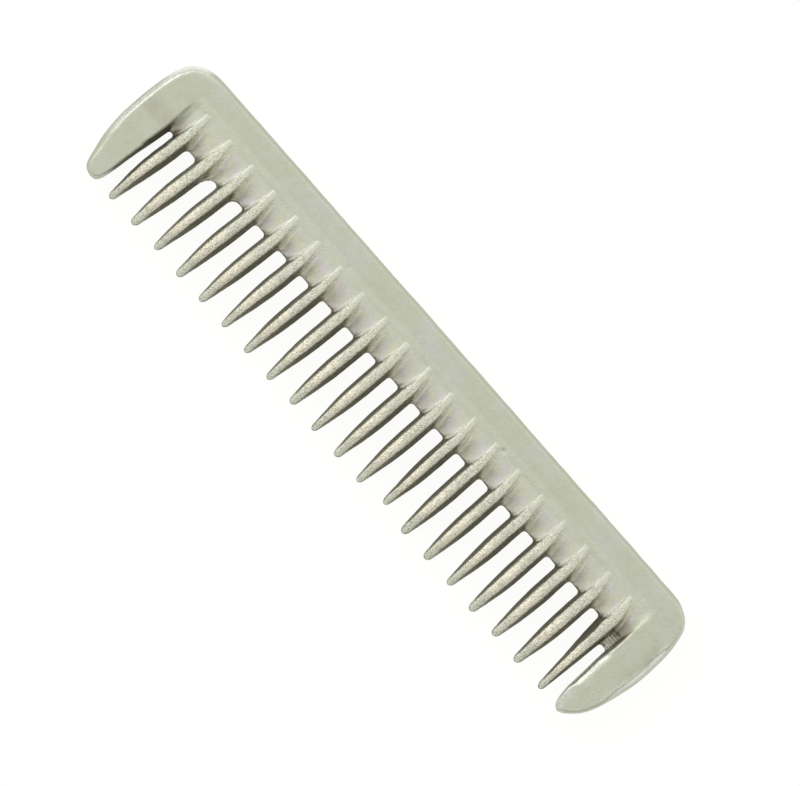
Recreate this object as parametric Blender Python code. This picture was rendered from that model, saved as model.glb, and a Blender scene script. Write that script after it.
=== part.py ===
"""Mane comb: one aluminium casting, 100 mm long, lying flat.

X runs along the comb, +Y points from the teeth to the straight back, +Z is up.
The origin is under the middle of the comb, on the plane that it rests on.
Both faces are alike, because the casting comes from a two-part mould that
opens on the plane at mid thickness: every height below is measured from that
parting plane, and the body is the same above it and below it.

Dimensions are in millimetres and the finished mesh is scaled to metres.
A pair named _X or _Y is where a gradual change starts and where it is complete.
Teeth and slots are indexed from 0 at the -X end; slot n is on the -X side of tooth n.
"""

import math

import bmesh
import bpy
import numpy as np
from mathutils.geometry import delaunay_2d_cdt

# ---------------------------------------------------------------- overall size
METRES = 0.001
BACK_Y = 10.7  # the straight back
THICK = 4.6  # over the two flat lands
HALF_THICK = 0.5 * THICK
PARTING = 0.12  # half height of the plain band on the parting line
BURIED = -9.0  # a height below every surface, for a feature that is absent

# ------------------------------------------------------------ teeth, in plan
TEETH = 20
PITCH = 4.426
FIRST_TOOTH_X = -42.30
ROW_BOW = 0.10  # shift of the middle teeth towards -X
AXIS_Y = -4.0  # where the tooth pitch is measured
ROOT_Y = 1.60  # the ends of the slots
TIP_Y = -10.55  # middle of the line of tips
TIP_TILT = -0.0022  # the line of tips drops slightly towards +X
TOOTH_HALF = 1.24  # half width of a tooth at the parting plane
TIP_HALF = 0.49
TIP_TAPER = 0.122  # half width gained for each mm above the tip
TIP_BLEND = 0.35
TIP_ROUND = 0.65
FAN_LEAN = 0.055  # lean of the first tooth, fading to none
FAN_TEETH = 13
UPPER_LEAN_SHARE = 0.3  # how much of the lean goes on above the slots
LOWER_BOW = (-0.09, 0.06)  # sideways bow, from the -X end of the row to the +X end
LOWER_BOW_Y = -0.5  # the bow starts here and ends at the tips
FLANK_SLOPE = 3.0  # rise over run of the cast draft on a tooth's flank
FLANK_RIGHT, FLANK_LEFT = 1.04, 1.40  # the +X flank has more draft than the -X flank

SHORT_TOOTH, SHORT_BY = 12, 0.75
LAST_LEAN = -0.0375  # the last tooth leans the other way
LAST_HALF, LAST_TIP_HALF, LAST_TAPER = 1.50, 0.45, 0.085
LAST_FLANK_RIGHT, LAST_FLANK_LEFT = 3.8, 2.5
LAST_STEEPENS = 1.5  # share by which the last tooth's -X flank steepens to the tip
LAST_STEEPENS_Y = (0.0, -7.5)

# ---------------------------------------------------------- ridges, in plan
RIDGE_Y = 6.35  # where a tooth's ridge starts to stand out
RIDGE_NECK_Y = 1.6  # above here the ridge narrows
RIDGE_NARROW, LAST_NARROW = 0.42, 0.55  # half width lost on the way up
RIDGE_LEAN = -0.15  # sideways shift of the ridge's upper end
RIDGE_LEAN_SPREAD = -0.0058  # change of that shift for each mm along the row
RIDGE_BOW = 0.13

# ----------------------------------------------------------------- slot ends
WEB_SLOT_ROOT = -0.75  # the last slot is partly closed by a thin web
PLAIN_CORNER = (0.50, 0.50)  # each corner is its radius (across, along) the slot
SECOND_CORNER = (0.62, 0.62)
NARROW_CORNER = (0.36, 0.36)
FLASH_CORNER = (1.30, 2.30)  # flash left in one corner
SOFT_CORNER = (1.10, 1.10)
LARGE_CORNER = 1.0  # a -X corner longer than this gets more steps
# Slots with corners of their own: (-X corner, +X corner).
SPECIAL_CORNERS = {
    0: (NARROW_CORNER, NARROW_CORNER),
    1: (SECOND_CORNER, SECOND_CORNER),
    2: (FLASH_CORNER, PLAIN_CORNER),
    3: (SOFT_CORNER, PLAIN_CORNER),
    TEETH: (NARROW_CORNER, NARROW_CORNER),
}

# -------------------------------------------------------------------- guards
# Outside of each end guard, (x, y) from the end of the straight back to its tip.
LEFT_GUARD = (
    (-43.2, BACK_Y), (-45.0, 10.66), (-46.35, 10.42), (-47.5, 9.90), (-48.5, 9.00),
    (-49.22, 7.66), (-49.62, 6.15), (-49.87, 3.8), (-50.0, 0.0), (-49.9, -2.6), (-49.45, -5.4),
    (-48.7, -7.95), (-48.0, -9.75), (-47.35, -10.25), (-46.6, -10.44),
)
RIGHT_GUARD = (
    (44.3, BACK_Y), (46.0, 10.53), (47.7, 9.75), (48.7, 8.7), (49.2, 7.55),
    (49.75, 5.1), (50.0, 1.2), (49.88, -1.4), (49.48, -4.0), (48.95, -6.5),
    (48.05, -8.6), (47.0, -9.9), (46.25, -10.55), (45.65, -10.80),
)
# Inner side of each guard, (x, y) from the slot's root down to the tip.
LEFT_INNER = (
    (-44.12, 1.3), (-44.32, -0.8), (-44.57, -2.7), (-44.86, -5.3),
    (-45.1, -8.0), (-45.4, -9.6), (-45.82, -10.22), LEFT_GUARD[-1],
)
RIGHT_INNER = (
    (44.08, 1.3), (44.08, -0.8), (44.1, -2.7), (44.18, -5.3), (44.32, -8.0),
    (44.58, -9.4), (44.98, -10.35), RIGHT_GUARD[-1],
)
LEFT_SLOPE, RIGHT_SLOPE = 3.4, 4.8  # draft of the inner sides at their upper end

# ------------------------------------------------------------ land and recess
LAND_Y = 7.54  # lower border of the flat land along the back
RECESS_STEP = 0.12
RECESS_FOOT_Y = LAND_Y - 1.5  # foot of the ramp down into the recess
RECESS_X = 44.6  # the recess ends this far from the middle
RECESS_END_RAMP = 1.0

# ---------------------------------------------------------- fineness of the mesh
SILHOUETTE_STEPS = 7
TIP_STEPS = 3
ROOT_STEPS = 2
LARGE_CORNER_EXTRA_STEPS = 2
BACK_STEPS = 11
RIDGE_ROWS = 5
VALLEY_ROWS = 5
LAND_POINTS = 41
GUARD_VALLEY_POINTS = 4
OUTER_STEP = 1.9
MERGE_DISTANCE = 1e-4


# --------------------------------------------------------------- small helpers
def smooth_min(first, second, width):
    share = np.clip(0.5 + 0.5 * (second - first) / width, 0, 1)
    return second * (1 - share) + first * share - width * share * (1 - share)


def smooth_max(first, second, width):
    return -smooth_min(-first, -second, width)


def progress(value, start, end):
    """0 at start and 1 at end, in a straight line; end may be below start."""
    return np.clip((value - start) / (end - start), 0, 1)


def ramp(value, start, end):
    """0 at start and 1 at end, eased at both ends."""
    part = progress(value, start, end)
    return part * part * (3 - 2 * part)


def spline(stations, step):
    """A centripetal Catmull-Rom curve through the stations, sampled about every step."""
    path = np.array(stations, float)
    path = np.vstack([2 * path[0] - path[1], path, 2 * path[-1] - path[-2]])
    out = []
    for four in zip(path, path[1:], path[2:], path[3:]):
        gaps = [math.sqrt(math.dist(*pair)) for pair in zip(four, four[1:])]
        knots = np.cumsum([0.0] + gaps)
        count = max(1, round(math.dist(four[1], four[2]) / step))
        for at in np.linspace(knots[1], knots[2], count, endpoint=False):

            def between(first, second, i, j):
                total = first * (knots[j] - at) + second * (at - knots[i])
                return total / (knots[j] - knots[i])

            legs = [between(four[i], four[i + 1], i, i + 1) for i in range(3)]
            low = between(legs[0], legs[1], 0, 2)
            high = between(legs[1], legs[2], 1, 3)
            out.append(between(low, high, 1, 2))
    out.append(path[-2])
    return np.array(out)


def each_tooth(value, last):
    """One value per tooth, with another for the last tooth."""
    return np.append(np.full(TEETH - 1, float(value)), last)


# ------------------------------------- values of each tooth and slot, with scatter
LEFT_WALL = spline(LEFT_INNER, OUTER_STEP)
RIGHT_WALL = spline(RIGHT_INNER, OUTER_STEP)

rng = np.random.default_rng(20)
NUMBER = np.arange(TEETH)
CENTRE = FIRST_TOOTH_X + PITCH * NUMBER + rng.uniform(-0.05, 0.05, TEETH)
CENTRE -= ROW_BOW * np.sin(math.pi * NUMBER / (TEETH - 1))
LEAN = FAN_LEAN * np.clip(1 - NUMBER / FAN_TEETH, 0, 1)
LEAN += rng.uniform(-0.004, 0.004, TEETH)
LEAN[-1] = LAST_LEAN
TIPS = TIP_Y + TIP_TILT * CENTRE + rng.uniform(-0.10, 0.10, TEETH)
TIPS[SHORT_TOOTH] += SHORT_BY
SLOT_ROOT = ROOT_Y + rng.uniform(-0.06, 0.06, TEETH + 1)
SLOT_ROOT[:3] -= (0.38, 0.28, 0.52)  # the first slots end lower
SLOT_ROOT[-1] = WEB_SLOT_ROOT
TIP_WIDTH = each_tooth(TIP_HALF, LAST_TIP_HALF)
TIP_WIDTH[:-1] += rng.uniform(-0.09, 0.07, TEETH - 1)
FULL_HALF = each_tooth(TOOTH_HALF, LAST_HALF)
FULL_HALF[:-1] += rng.uniform(-0.03, 0.03, TEETH - 1)
TAPER = each_tooth(TIP_TAPER, LAST_TAPER)
RIGHT_FLANK = each_tooth(FLANK_SLOPE * FLANK_RIGHT, LAST_FLANK_RIGHT)
LEFT_FLANK = each_tooth(FLANK_SLOPE * FLANK_LEFT, LAST_FLANK_LEFT)
NARROW = each_tooth(RIDGE_NARROW, LAST_NARROW)
BOW = np.linspace(*LOWER_BOW, TEETH)
BOW[-1] = 0.0  # the last tooth is straight
UPPER_LEAN = RIDGE_LEAN + RIDGE_LEAN_SPREAD * (CENTRE - CENTRE[0])

# --------------------------------------------------------------- shape of a tooth
CREST_HALF = 2.12  # half thickness over the tooth crests
RIDGE_LIFT = 0.14  # rise of the crest from the slot roots to the ridge's upper end
CREST_TIP = 0.52  # half thickness at the tip, before rounding
CREST_TAPER = 0.29  # half thickness gained for each mm above the tip
CREST_BLEND = 0.7
CREST_TIP_ROUND = 0.9  # length of the rounding at the tip
CREST_TIP_DROP = 0.75  # how full that rounding is


def left_flank(tooth, y):
    """Slope of a tooth's -X flank; on the last tooth it steepens towards the tip."""
    extra = LAST_STEEPENS * (np.asarray(tooth) == TEETH - 1) * ramp(y, *LAST_STEEPENS_Y)
    return LEFT_FLANK[tooth] * (1 + extra)


def up_ridge(y):
    """0 at the slot roots, 1 at the upper end of the ridges."""
    return progress(y, ROOT_Y, RIDGE_Y)


def tooth_axis(tooth, y):
    """X of a tooth's middle line at each y."""
    low = np.minimum(y, ROOT_Y) - AXIS_Y
    up = up_ridge(y)
    ridge = UPPER_LEAN[tooth] * up**1.6 + 4 * RIDGE_BOW * up * (1 - up)
    down = progress(y, LOWER_BOW_Y, TIP_Y)
    bow = 4 * BOW[tooth] * down * (1 - down)
    lean = LEAN[tooth] * (low + UPPER_LEAN_SHARE * np.maximum(y - ROOT_Y, 0))
    return CENTRE[tooth] + lean + ridge + bow


def tooth_half(tooth, y):
    """Half width at the parting plane. Above the slots it is the ridge's base."""
    rise = np.maximum(y - TIPS[tooth], 0)
    half = smooth_min(FULL_HALF[tooth], TIP_WIDTH[tooth] + TAPER[tooth] * rise, TIP_BLEND)
    half = half * np.sqrt(1 - (1 - np.minimum(rise / TIP_ROUND, 1)) ** 2)
    return half - NARROW[tooth] * progress(y, RIDGE_NECK_Y, RIDGE_Y) ** 1.2


def crest_height(tooth, y):
    rise = np.maximum(y - TIPS[tooth], 0)
    top = CREST_HALF + RIDGE_LIFT * up_ridge(y)
    height = smooth_min(top, CREST_TIP + CREST_TAPER * rise, CREST_BLEND)
    nose = (1 - np.minimum(rise / CREST_TIP_ROUND, 1)) ** 2
    return height * np.sqrt(1 - CREST_TIP_DROP * nose)


# ----------------------------------------------------------------------- outline
WALL_GAP = 0.3  # clear of a slot's corner before the guard's wall points start


def tooth_side(tooth, side, top):
    """One side of a tooth from the slot's corner down to just above the tip."""
    tip = TIPS[tooth]
    down = np.linspace(top, tip + TIP_ROUND, SILHOUETTE_STEPS)
    turn = np.linspace(0, 0.5 * math.pi, TIP_STEPS + 1)[1:-1]
    y = np.concatenate([down, tip + TIP_ROUND * (1 - np.sin(turn))])
    return np.column_stack([tooth_axis(tooth, y) + side * tooth_half(tooth, y), y])


def guard_wall(wall, y):
    """X of a guard's inner side at each y."""
    return np.interp(y, wall[::-1, 1], wall[::-1, 0])


def left_wall(slot, y):
    """X of the wall on the -X side of a slot."""
    if slot == 0:
        return guard_wall(LEFT_WALL, y)
    return tooth_axis(slot - 1, y) + tooth_half(slot - 1, y)


def right_wall(slot, y):
    """X of the wall on the +X side of a slot."""
    if slot == TEETH:
        return guard_wall(RIGHT_WALL, y)
    return tooth_axis(slot, y) - tooth_half(slot, y)


def slot_corner(slot, wall, side, radii, extra_steps):
    """A rounded corner from the wall up to the slot's end; side points into the slot."""
    across, along = radii
    root = SLOT_ROOT[slot]
    turn = np.linspace(0, 0.5 * math.pi, ROOT_STEPS + 1 + extra_steps)
    x = wall(slot, root - along) + side * across * (1 - np.cos(turn))
    return np.column_stack([x, root - along * (1 - np.sin(turn))])


def slot_end(slot):
    """The closed end of a slot, from its -X wall to its +X wall."""
    left, right = SPECIAL_CORNERS.get(slot, (PLAIN_CORNER, PLAIN_CORNER))
    extra = LARGE_CORNER_EXTRA_STEPS * (left[1] > LARGE_CORNER)
    left_part = slot_corner(slot, left_wall, 1, left, extra)
    right_part = slot_corner(slot, right_wall, -1, right, 0)
    return np.vstack([left_part, right_part[::-1]])


def outer_outline():
    """Left guard's tip, over the back, to the right guard's tip."""
    back = np.linspace(LEFT_GUARD[0][0], RIGHT_GUARD[0][0], BACK_STEPS + 1)[1:-1]
    return np.vstack([
        spline(LEFT_GUARD, OUTER_STEP)[::-1],
        np.column_stack([back, np.full(len(back), BACK_Y)]),
        spline(RIGHT_GUARD, OUTER_STEP),
    ])


def inner_outline():
    """Right guard's inner side, along the slots and teeth, to the left guard's.

    The guard tips are left out, because the outer outline has them.
    """
    ends = [slot_end(slot) for slot in range(TEETH + 1)]
    wall = RIGHT_WALL[RIGHT_WALL[:, 1] < ends[TEETH][-1, 1] - WALL_GAP]
    parts = [wall[::-1][1:]]
    for i in range(TEETH - 1, -1, -1):
        parts.append(ends[i + 1][::-1])
        parts.append(tooth_side(i, 1, ends[i + 1][0, 1])[1:])
        parts.append([[tooth_axis(i, TIPS[i]), TIPS[i]]])
        parts.append(tooth_side(i, -1, ends[i][-1, 1])[1:][::-1])
    parts.append(ends[0][::-1])
    wall = LEFT_WALL[LEFT_WALL[:, 1] < ends[0][0, 1] - WALL_GAP]
    parts.append(wall[:-1])
    return np.vstack(parts)


def distance(points, line):
    """How far each point is from a polyline."""
    start = line[:-1]
    run = line[1:] - start
    size = np.maximum((run**2).sum(1), 1e-12)
    part = ((points[:, None] - start) * run).sum(2) / size
    foot = start + np.clip(part, 0, 1)[..., None] * run
    return np.sqrt(((points[:, None] - foot) ** 2).sum(2)).min(1)


# ------------------------------------------------------------ heights: the valleys
SCOOP_Y = 6.63  # where the valleys start to fall
SCOOP_TAIL = 0.72  # the valley's curve would close this far past the slot root
SCOOP_VALLEY = 3.0  # depth scale along the middle of a valley
SCOOP_SHOULDER = 0.35  # depth scale beside a ridge
HEAD_DIP, HEAD_DIP_Y = 0.05, (SCOOP_Y - 0.1, SCOOP_Y - 1.0)
MIDDLE_DIP, MIDDLE_DIP_Y = 0.10, (4.2, 1.6)  # extra depth between the ridges
WEB_HALF = 0.30
WEB_X = 40.0  # the web lies beyond this
WEB_MARGIN = 0.1
FLASH_X, SOFT_X = (-37.6, -35.2), (-33.4, -31.6)  # extent of the thin places
FLASH_FALL, WALL_FALL = 0.9, 6.0  # slope of the body at those places, and elsewhere
FALL_END_X = 42.5


def plate_height(x, y):
    """Flat land, guards, and the shallow recess between them."""
    ends = ramp(np.abs(x), RECESS_X, RECESS_X - RECESS_END_RAMP)
    return HALF_THICK - RECESS_STEP * ramp(y, LAND_Y, RECESS_FOOT_Y) * ends


def valley_height(x, y, axes, off):
    """Valleys fall in a quarter ellipse towards the slot roots, deepest midway.

    axes holds X of every tooth's axis, and off is the distance from the nearest.
    """
    plate = plate_height(x, y)
    middles = 0.5 * (axes[1:] + axes[:-1]).mean(1)
    middles = np.concatenate([[middles[0] - PITCH], middles, [middles[-1] + PITCH]])
    root = np.interp(x, middles, np.append(SLOT_ROOT[:-1], ROOT_Y))
    part = np.clip((SCOOP_Y - y) / (SCOOP_Y - root + SCOOP_TAIL), 0, 0.995)
    fall = 1 - np.sqrt(1 - part * part)
    sideways = np.clip(off / (0.5 * PITCH), 0, 1)
    scale = SCOOP_SHOULDER + (SCOOP_VALLEY - SCOOP_SHOULDER) * (1 - (1 - sideways) ** 2)
    depth = scale * fall + HEAD_DIP * ramp(y, *HEAD_DIP_Y)
    depth += MIDDLE_DIP * sideways * ramp(y, *MIDDLE_DIP_Y) ** 2
    web = np.where((x > WEB_X) & (y > WEB_SLOT_ROOT - WEB_MARGIN), WEB_HALF, BURIED)
    valley = smooth_max(plate - depth, web, 0.15)
    below = np.clip(root - y, 0, None)
    flash = (x > FLASH_X[0]) & (x < FLASH_X[1])
    soft = (x > SOFT_X[0]) & (x < SOFT_X[1])
    drop = np.where(flash | soft, FLASH_FALL, WALL_FALL) * below
    return np.minimum(np.where(x < FALL_END_X, valley - drop, valley), plate)


# -------------------------------------------------- heights: teeth and their ridges
RIDGE_NOSE = 0.32
NOSE_FALL = 0.14
NOSE_END = 3  # the ridge is gone this many nose lengths on
CREST_OFFSET, CREST_OFFSET_Y = -0.03, (RIDGE_Y, RIDGE_Y - 3)
CROWN_LEFT, CROWN_RIGHT = 0.40, 0.08  # how strongly the crest is rounded on each side
CROWN_FLATTENS = 0.45  # share of the -X rounding lost up the ridge
LOWER_CROWN, LOWER_CROWN_Y = 0.34, (1.5, -2.0)  # more rounding on the teeth's +X side
CREST_ROUND = 0.30
SHARPER, SHARPER_Y = 0.20, (ROOT_Y, ROOT_Y + 3.0)  # rounding lost up the ridge
RUN_OUT, RUN_OUT_Y = 0.90, (3.0, 5.2)  # share of the +X slope lost up the ridge


def ridge_height(tooth, y, signed, slope):
    """Teeth run up onto the valleys as ridges, rounder on the -X side."""
    crest = crest_height(tooth, y)
    across = signed - CREST_OFFSET * ramp(y, *CREST_OFFSET_Y)
    left_crown = CROWN_LEFT * (1 - CROWN_FLATTENS * up_ridge(y))
    crown = np.where(across < 0, left_crown, CROWN_RIGHT) * across**2
    crown = crown + LOWER_CROWN * np.clip(across, 0, None) ** 2 * ramp(y, *LOWER_CROWN_Y)
    edge = tooth_half(tooth, y) - (crest - PARTING) / slope
    run_out = slope * np.where(signed > 0, 1 - RUN_OUT * ramp(y, *RUN_OUT_Y), 1.0)
    flank = crest + run_out * (edge - np.abs(signed))
    ridge = smooth_min(crest - crown, flank, CREST_ROUND - SHARPER * ramp(y, *SHARPER_Y))
    nose = np.clip((y - RIDGE_Y) / RIDGE_NOSE + 1, 0, None)
    return np.where(nose > NOSE_END, BURIED, ridge - NOSE_FALL * nose**2)


# ---------------------------------------------------------- heights: rim and guards
BACK_ROUND = 0.65  # plan width of the rounding along the back
GUARD_ROUND, GUARD_ROUND_X = 0.95, (43, 48)  # the same outside the guards
# Shares of that width lost beside each guard's tip and at the +X shoulder.
RIGHT_TIP_SHARP, RIGHT_TIP_SHARP_Y = 0.55, (-2.5, -5.5)
LEFT_TIP_SHARP, LEFT_TIP_SHARP_Y = 0.35, (-6.0, -9.0)
SHOULDER_SHARP, SHOULDER_X, SHOULDER_Y = 0.50, (44, 46), (3.5, 6.0)
TIP_SHARP_X = 40  # the guards lie beyond this
RIM_POWER = 1.7  # 2 would be a quarter ellipse
BEVEL = 0.86  # plan width of the fettled bevel outside the guards
RIGHT_BEVEL_EXTRA = 0.12
BEVEL_X = 44.6  # the bevels lie beyond this
RIGHT_BEVEL_FOOT_Y, LEFT_BEVEL_FOOT_Y = (-4.6, -1.0), (-6.4, -3.4)
RIGHT_BEVEL_HEAD_Y, LEFT_BEVEL_HEAD_X = (6.2, 4.4), (-BEVEL_X, -46.8)
LEFT_BEVEL_SLOPE, RIGHT_BEVEL_SLOPE = 0.80, 1.00
LEFT_STEEPENS, LEFT_STEEPENS_Y = 4.0, (-0.5, -6.5)  # slope gained by the inner sides
RIGHT_STEEPENS, RIGHT_STEEPENS_Y = 9.0, (0.5, -3.0)
INNER_BEVEL = 0.85  # bevel along the top of the +X guard's inner side
INNER_BEVEL_SLOPE = 0.75
INNER_BEVEL_TOP_Y, INNER_BEVEL_FADE_Y = 6.3, (-5.2, -8.6)
INNER_BEVEL_X = 43.6
GUARD_SLOPE_X = (43.4, 44.2)  # from a tooth's flank slope to the guard's
EDGE_SOFT, GUARD_EDGE_SOFT = 0.15, 0.08  # blend of surface and slot walls
RIDGE_FILLET, FILLET_LOSS, FILLET_LOSS_Y = 0.12, 0.08, (2.0, 5.0)
LAND_SNAP = 0.006  # surfaces this close to the land are made level with it


def rim_width(x, y):
    """Plan width of the rounded rim, which is sharper towards the guard tips."""
    wide = BACK_ROUND + (GUARD_ROUND - BACK_ROUND) * ramp(np.abs(x), *GUARD_ROUND_X)
    right = RIGHT_TIP_SHARP * (x > TIP_SHARP_X) * ramp(y, *RIGHT_TIP_SHARP_Y)
    left = LEFT_TIP_SHARP * (x < -TIP_SHARP_X) * ramp(y, *LEFT_TIP_SHARP_Y)
    shoulder = SHOULDER_SHARP * ramp(x, *SHOULDER_X) * ramp(y, *SHOULDER_Y)
    return wide * (1 - right - left) * (1 - shoulder)


def bevel_width(x, y):
    """Plan width of the bevel beside the guards, which fades at both of its ends."""
    edge = BEVEL + np.where(x > 0, RIGHT_BEVEL_EXTRA, 0.0)
    foot = np.where(x > 0, ramp(y, *RIGHT_BEVEL_FOOT_Y), ramp(y, *LEFT_BEVEL_FOOT_Y))
    head = np.where(x > 0, ramp(y, *RIGHT_BEVEL_HEAD_Y), ramp(x, *LEFT_BEVEL_HEAD_X))
    return edge * head * foot * (np.abs(x) > BEVEL_X)


def facet_height(width, from_edge, slope):
    """A flat bevel that cuts the land at this width from an edge."""
    return HALF_THICK - slope * np.clip(width - from_edge, -0.1, None)


def guard_slope(x, y):
    """Slope of the guards' inner sides, which steepen downwards."""
    left = LEFT_SLOPE + LEFT_STEEPENS * ramp(y, *LEFT_STEEPENS_Y)
    right = RIGHT_SLOPE + RIGHT_STEEPENS * ramp(y, *RIGHT_STEEPENS_Y)
    return np.where(x < 0, left, right)


def guard_height(x, y, slope):
    """The guards keep the full thickness behind their inner sides."""
    inside = np.maximum(guard_wall(LEFT_WALL, y) - x, x - guard_wall(RIGHT_WALL, y))
    return smooth_min(HALF_THICK, PARTING + slope * inside, 0.10)


def rim_height(x, y, from_outer):
    """A rounded rim, and beside the guards a flat bevel filed onto it."""
    part = np.clip(1 - from_outer / rim_width(x, y), 0, 1)
    rim = PARTING + (HALF_THICK - PARTING) * (1 - part**RIM_POWER) ** (1 / RIM_POWER)
    tilt = np.where(x < 0, LEFT_BEVEL_SLOPE, RIGHT_BEVEL_SLOPE)
    return smooth_min(rim, facet_height(bevel_width(x, y), from_outer, tilt), 0.05)


def surface_height(points, outer, inner):
    """Height of the surface over the parting plane at each plan point."""
    x, y = points.T
    axes = np.array([tooth_axis(i, y) for i in range(TEETH)])
    near = np.abs(axes - x).argmin(0)
    signed = x - axes[near, np.arange(len(x))]
    flank = np.where(signed > 0, RIGHT_FLANK[near], left_flank(near, y))
    wall = guard_slope(x, y)

    valley = valley_height(x, y, axes, np.abs(signed))
    ridge = ridge_height(near, y, signed, flank)
    body = smooth_max(valley, ridge, RIDGE_FILLET - FILLET_LOSS * ramp(y, *FILLET_LOSS_Y))
    body = np.minimum(smooth_max(body, guard_height(x, y, wall), 0.06), HALF_THICK)

    # Draft along teeth and slots, then the bevel inside the +X guard.
    from_inner = distance(points, inner)
    steep = flank + (wall - flank) * ramp(np.abs(x), *GUARD_SLOPE_X)
    soft = np.where(np.abs(x) > GUARD_SLOPE_X[0], GUARD_EDGE_SOFT, EDGE_SOFT)
    body = smooth_min(body, PARTING + steep * from_inner, soft)
    bevel = INNER_BEVEL * (y < INNER_BEVEL_TOP_Y) * (1 - ramp(y, *INNER_BEVEL_FADE_Y))
    facet = facet_height(bevel, from_inner, INNER_BEVEL_SLOPE)
    body = np.where(x > INNER_BEVEL_X, smooth_min(body, facet, 0.06), body)

    rim = rim_height(x, y, distance(points, outer))
    height = np.clip(np.minimum(body, rim), PARTING, HALF_THICK)
    return np.where(height > HALF_THICK - LAND_SNAP, HALF_THICK, height)


# --------------------------------------------------------------------- plan mesh
RIM_END_Y = -8.9  # the rim's lines stop above the guard tips
WALL_END_Y = -9.3  # so do the lines inside the guards
OUTER_BEVEL_X = 45.5  # the bevels' middle lines lie beyond this
VALLEY_SHIFT = 0.55  # from a valley's middle to the two lines along it
# Single (x, y) points near the guard tips.
TIP_POINTS = (
    (-46.7, -9.6), (-46.0, -9.7), (-47.5, -9.3),
    (45.6, -10.1), (46.1, -9.7), (45.3, -9.6),
)


def tooth_lines(tooth):
    """Both edges of the crest, its middle, and both feet of the ridge."""
    tip = TIPS[tooth]
    top = min(SLOT_ROOT[tooth], SLOT_ROOT[tooth + 1]) - 0.5
    free = np.concatenate([np.linspace(top, tip + 2.2, 5), tip + np.array([1.3, 0.55])])
    ridge = np.linspace(RIDGE_Y - 0.3, top + 0.1, RIDGE_ROWS, endpoint=False)
    y = np.concatenate([[RIDGE_Y + 0.1], ridge, free])
    axis = tooth_axis(tooth, y)
    lines = []
    for side, flank in ((-1, left_flank(tooth, y)), (1, RIGHT_FLANK[tooth])):
        edge = tooth_half(tooth, y) - (crest_height(tooth, y) - PARTING) / flank
        lines.append(np.column_stack([axis + side * np.maximum(edge, 0.10), y]))
    lines.append(np.column_stack([axis, y]))
    base = tooth_half(tooth, ridge) + 0.12
    for side in (-1, 1):
        lines.append(np.column_stack([tooth_axis(tooth, ridge) + side * base, ridge]))
    return lines


def valley_lines(slot):
    root = SLOT_ROOT[slot]
    rows = np.append(np.linspace(RECESS_FOOT_Y, root + 0.7, VALLEY_ROWS), root + 0.3)
    middle = 0.5 * (tooth_axis(slot - 1, rows) + tooth_axis(slot, rows))
    return [np.column_stack([middle + side * VALLEY_SHIFT, rows]) for side in (-1, 1)]


def inset(line, depth):
    """The line moved to its right-hand side, which is into the comb."""
    run = np.gradient(line, axis=0)
    normal = np.column_stack([run[:, 1], -run[:, 0]])
    normal /= np.linalg.norm(normal, axis=1)[:, None]
    return line + normal * depth[:, None]


def rim_lines(outer):
    """Lines along the rounding of the rim and the bevels."""
    wide = rim_width(*outer.T)
    land = np.maximum(wide, bevel_width(*outer.T))
    keep = outer[:, 1] > RIM_END_Y
    middle = inset(outer, 0.55 * land)
    return [
        inset(outer, 0.22 * wide)[keep],
        middle[keep & (outer[:, 0] < -OUTER_BEVEL_X)],
        middle[keep & (outer[:, 0] > OUTER_BEVEL_X)],
        inset(outer, land)[keep],
    ]


def guard_lines(wall, side, slope):
    """Top edge of a guard's inner side, and the valley line above its slot."""
    top = wall[wall[:, 1] > WALL_END_Y]
    run = HALF_THICK / slope + 0.05
    rows = np.linspace(LAND_Y - 1.2, top[0, 1] + 0.6, GUARD_VALLEY_POINTS)
    return [
        np.vstack([[side * RECESS_X, LAND_Y - 0.9], top + (side * run, 0)]),
        np.column_stack([np.full(len(rows), top[0, 0] - side * 0.02), rows]),
    ]


def surface_lines(outer):
    """Lines that the mesh follows: crests, ridges, valleys, rims, land and guards."""
    lines = []
    for tooth in range(TEETH):
        lines += tooth_lines(tooth)
    for slot in range(1, TEETH):
        lines += valley_lines(slot)
    lines += rim_lines(outer)
    land_x = np.linspace(-RECESS_X, RECESS_X, LAND_POINTS)
    lines.append(np.column_stack([land_x, np.full(LAND_POINTS, LAND_Y)]))
    lines += guard_lines(LEFT_WALL, -1, LEFT_SLOPE)
    lines += guard_lines(RIGHT_WALL, 1, RIGHT_SLOPE)
    return lines


def plan_mesh():
    """Plan points, their heights over the parting plane, and the triangles."""
    outer, inner = outer_outline(), inner_outline()
    outline = np.vstack([outer, inner])
    points = [tuple(point) for point in outline.tolist()]
    edges = []
    for line in surface_lines(outer):
        start = len(points)
        points.extend(tuple(point) for point in line.tolist())
        edges.extend((k, k + 1) for k in range(start, len(points) - 1))
    points.extend(TIP_POINTS)

    size = len(outline)
    ring = list(range(size))[::-1]
    inside_only = 1  # output type: the triangles within the ring
    verts, _, faces, origins, _, _ = delaunay_2d_cdt(
        points, edges, [ring], inside_only, MERGE_DISTANCE
    )
    plan = np.array([tuple(vert) for vert in verts])
    on_ring = np.array([any(k < size for k in ids) for ids in origins])
    height = surface_height(plan, outer, np.vstack([outer[-1:], inner, outer[:1]]))
    height[on_ring] = PARTING
    plan -= 0.5 * (plan.min(0) + plan.max(0))  # the origin is under the middle
    return plan, height, faces


# -------------------------------------------------------------------- the casting
SHARP_ANGLE = math.radians(38)
ALUMINIUM = {  # colour is linear RGBA
    "Base Color": (0.53, 0.54, 0.45, 1),
    "Metallic": 0.9,
    "Roughness": 0.45,
}


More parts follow.
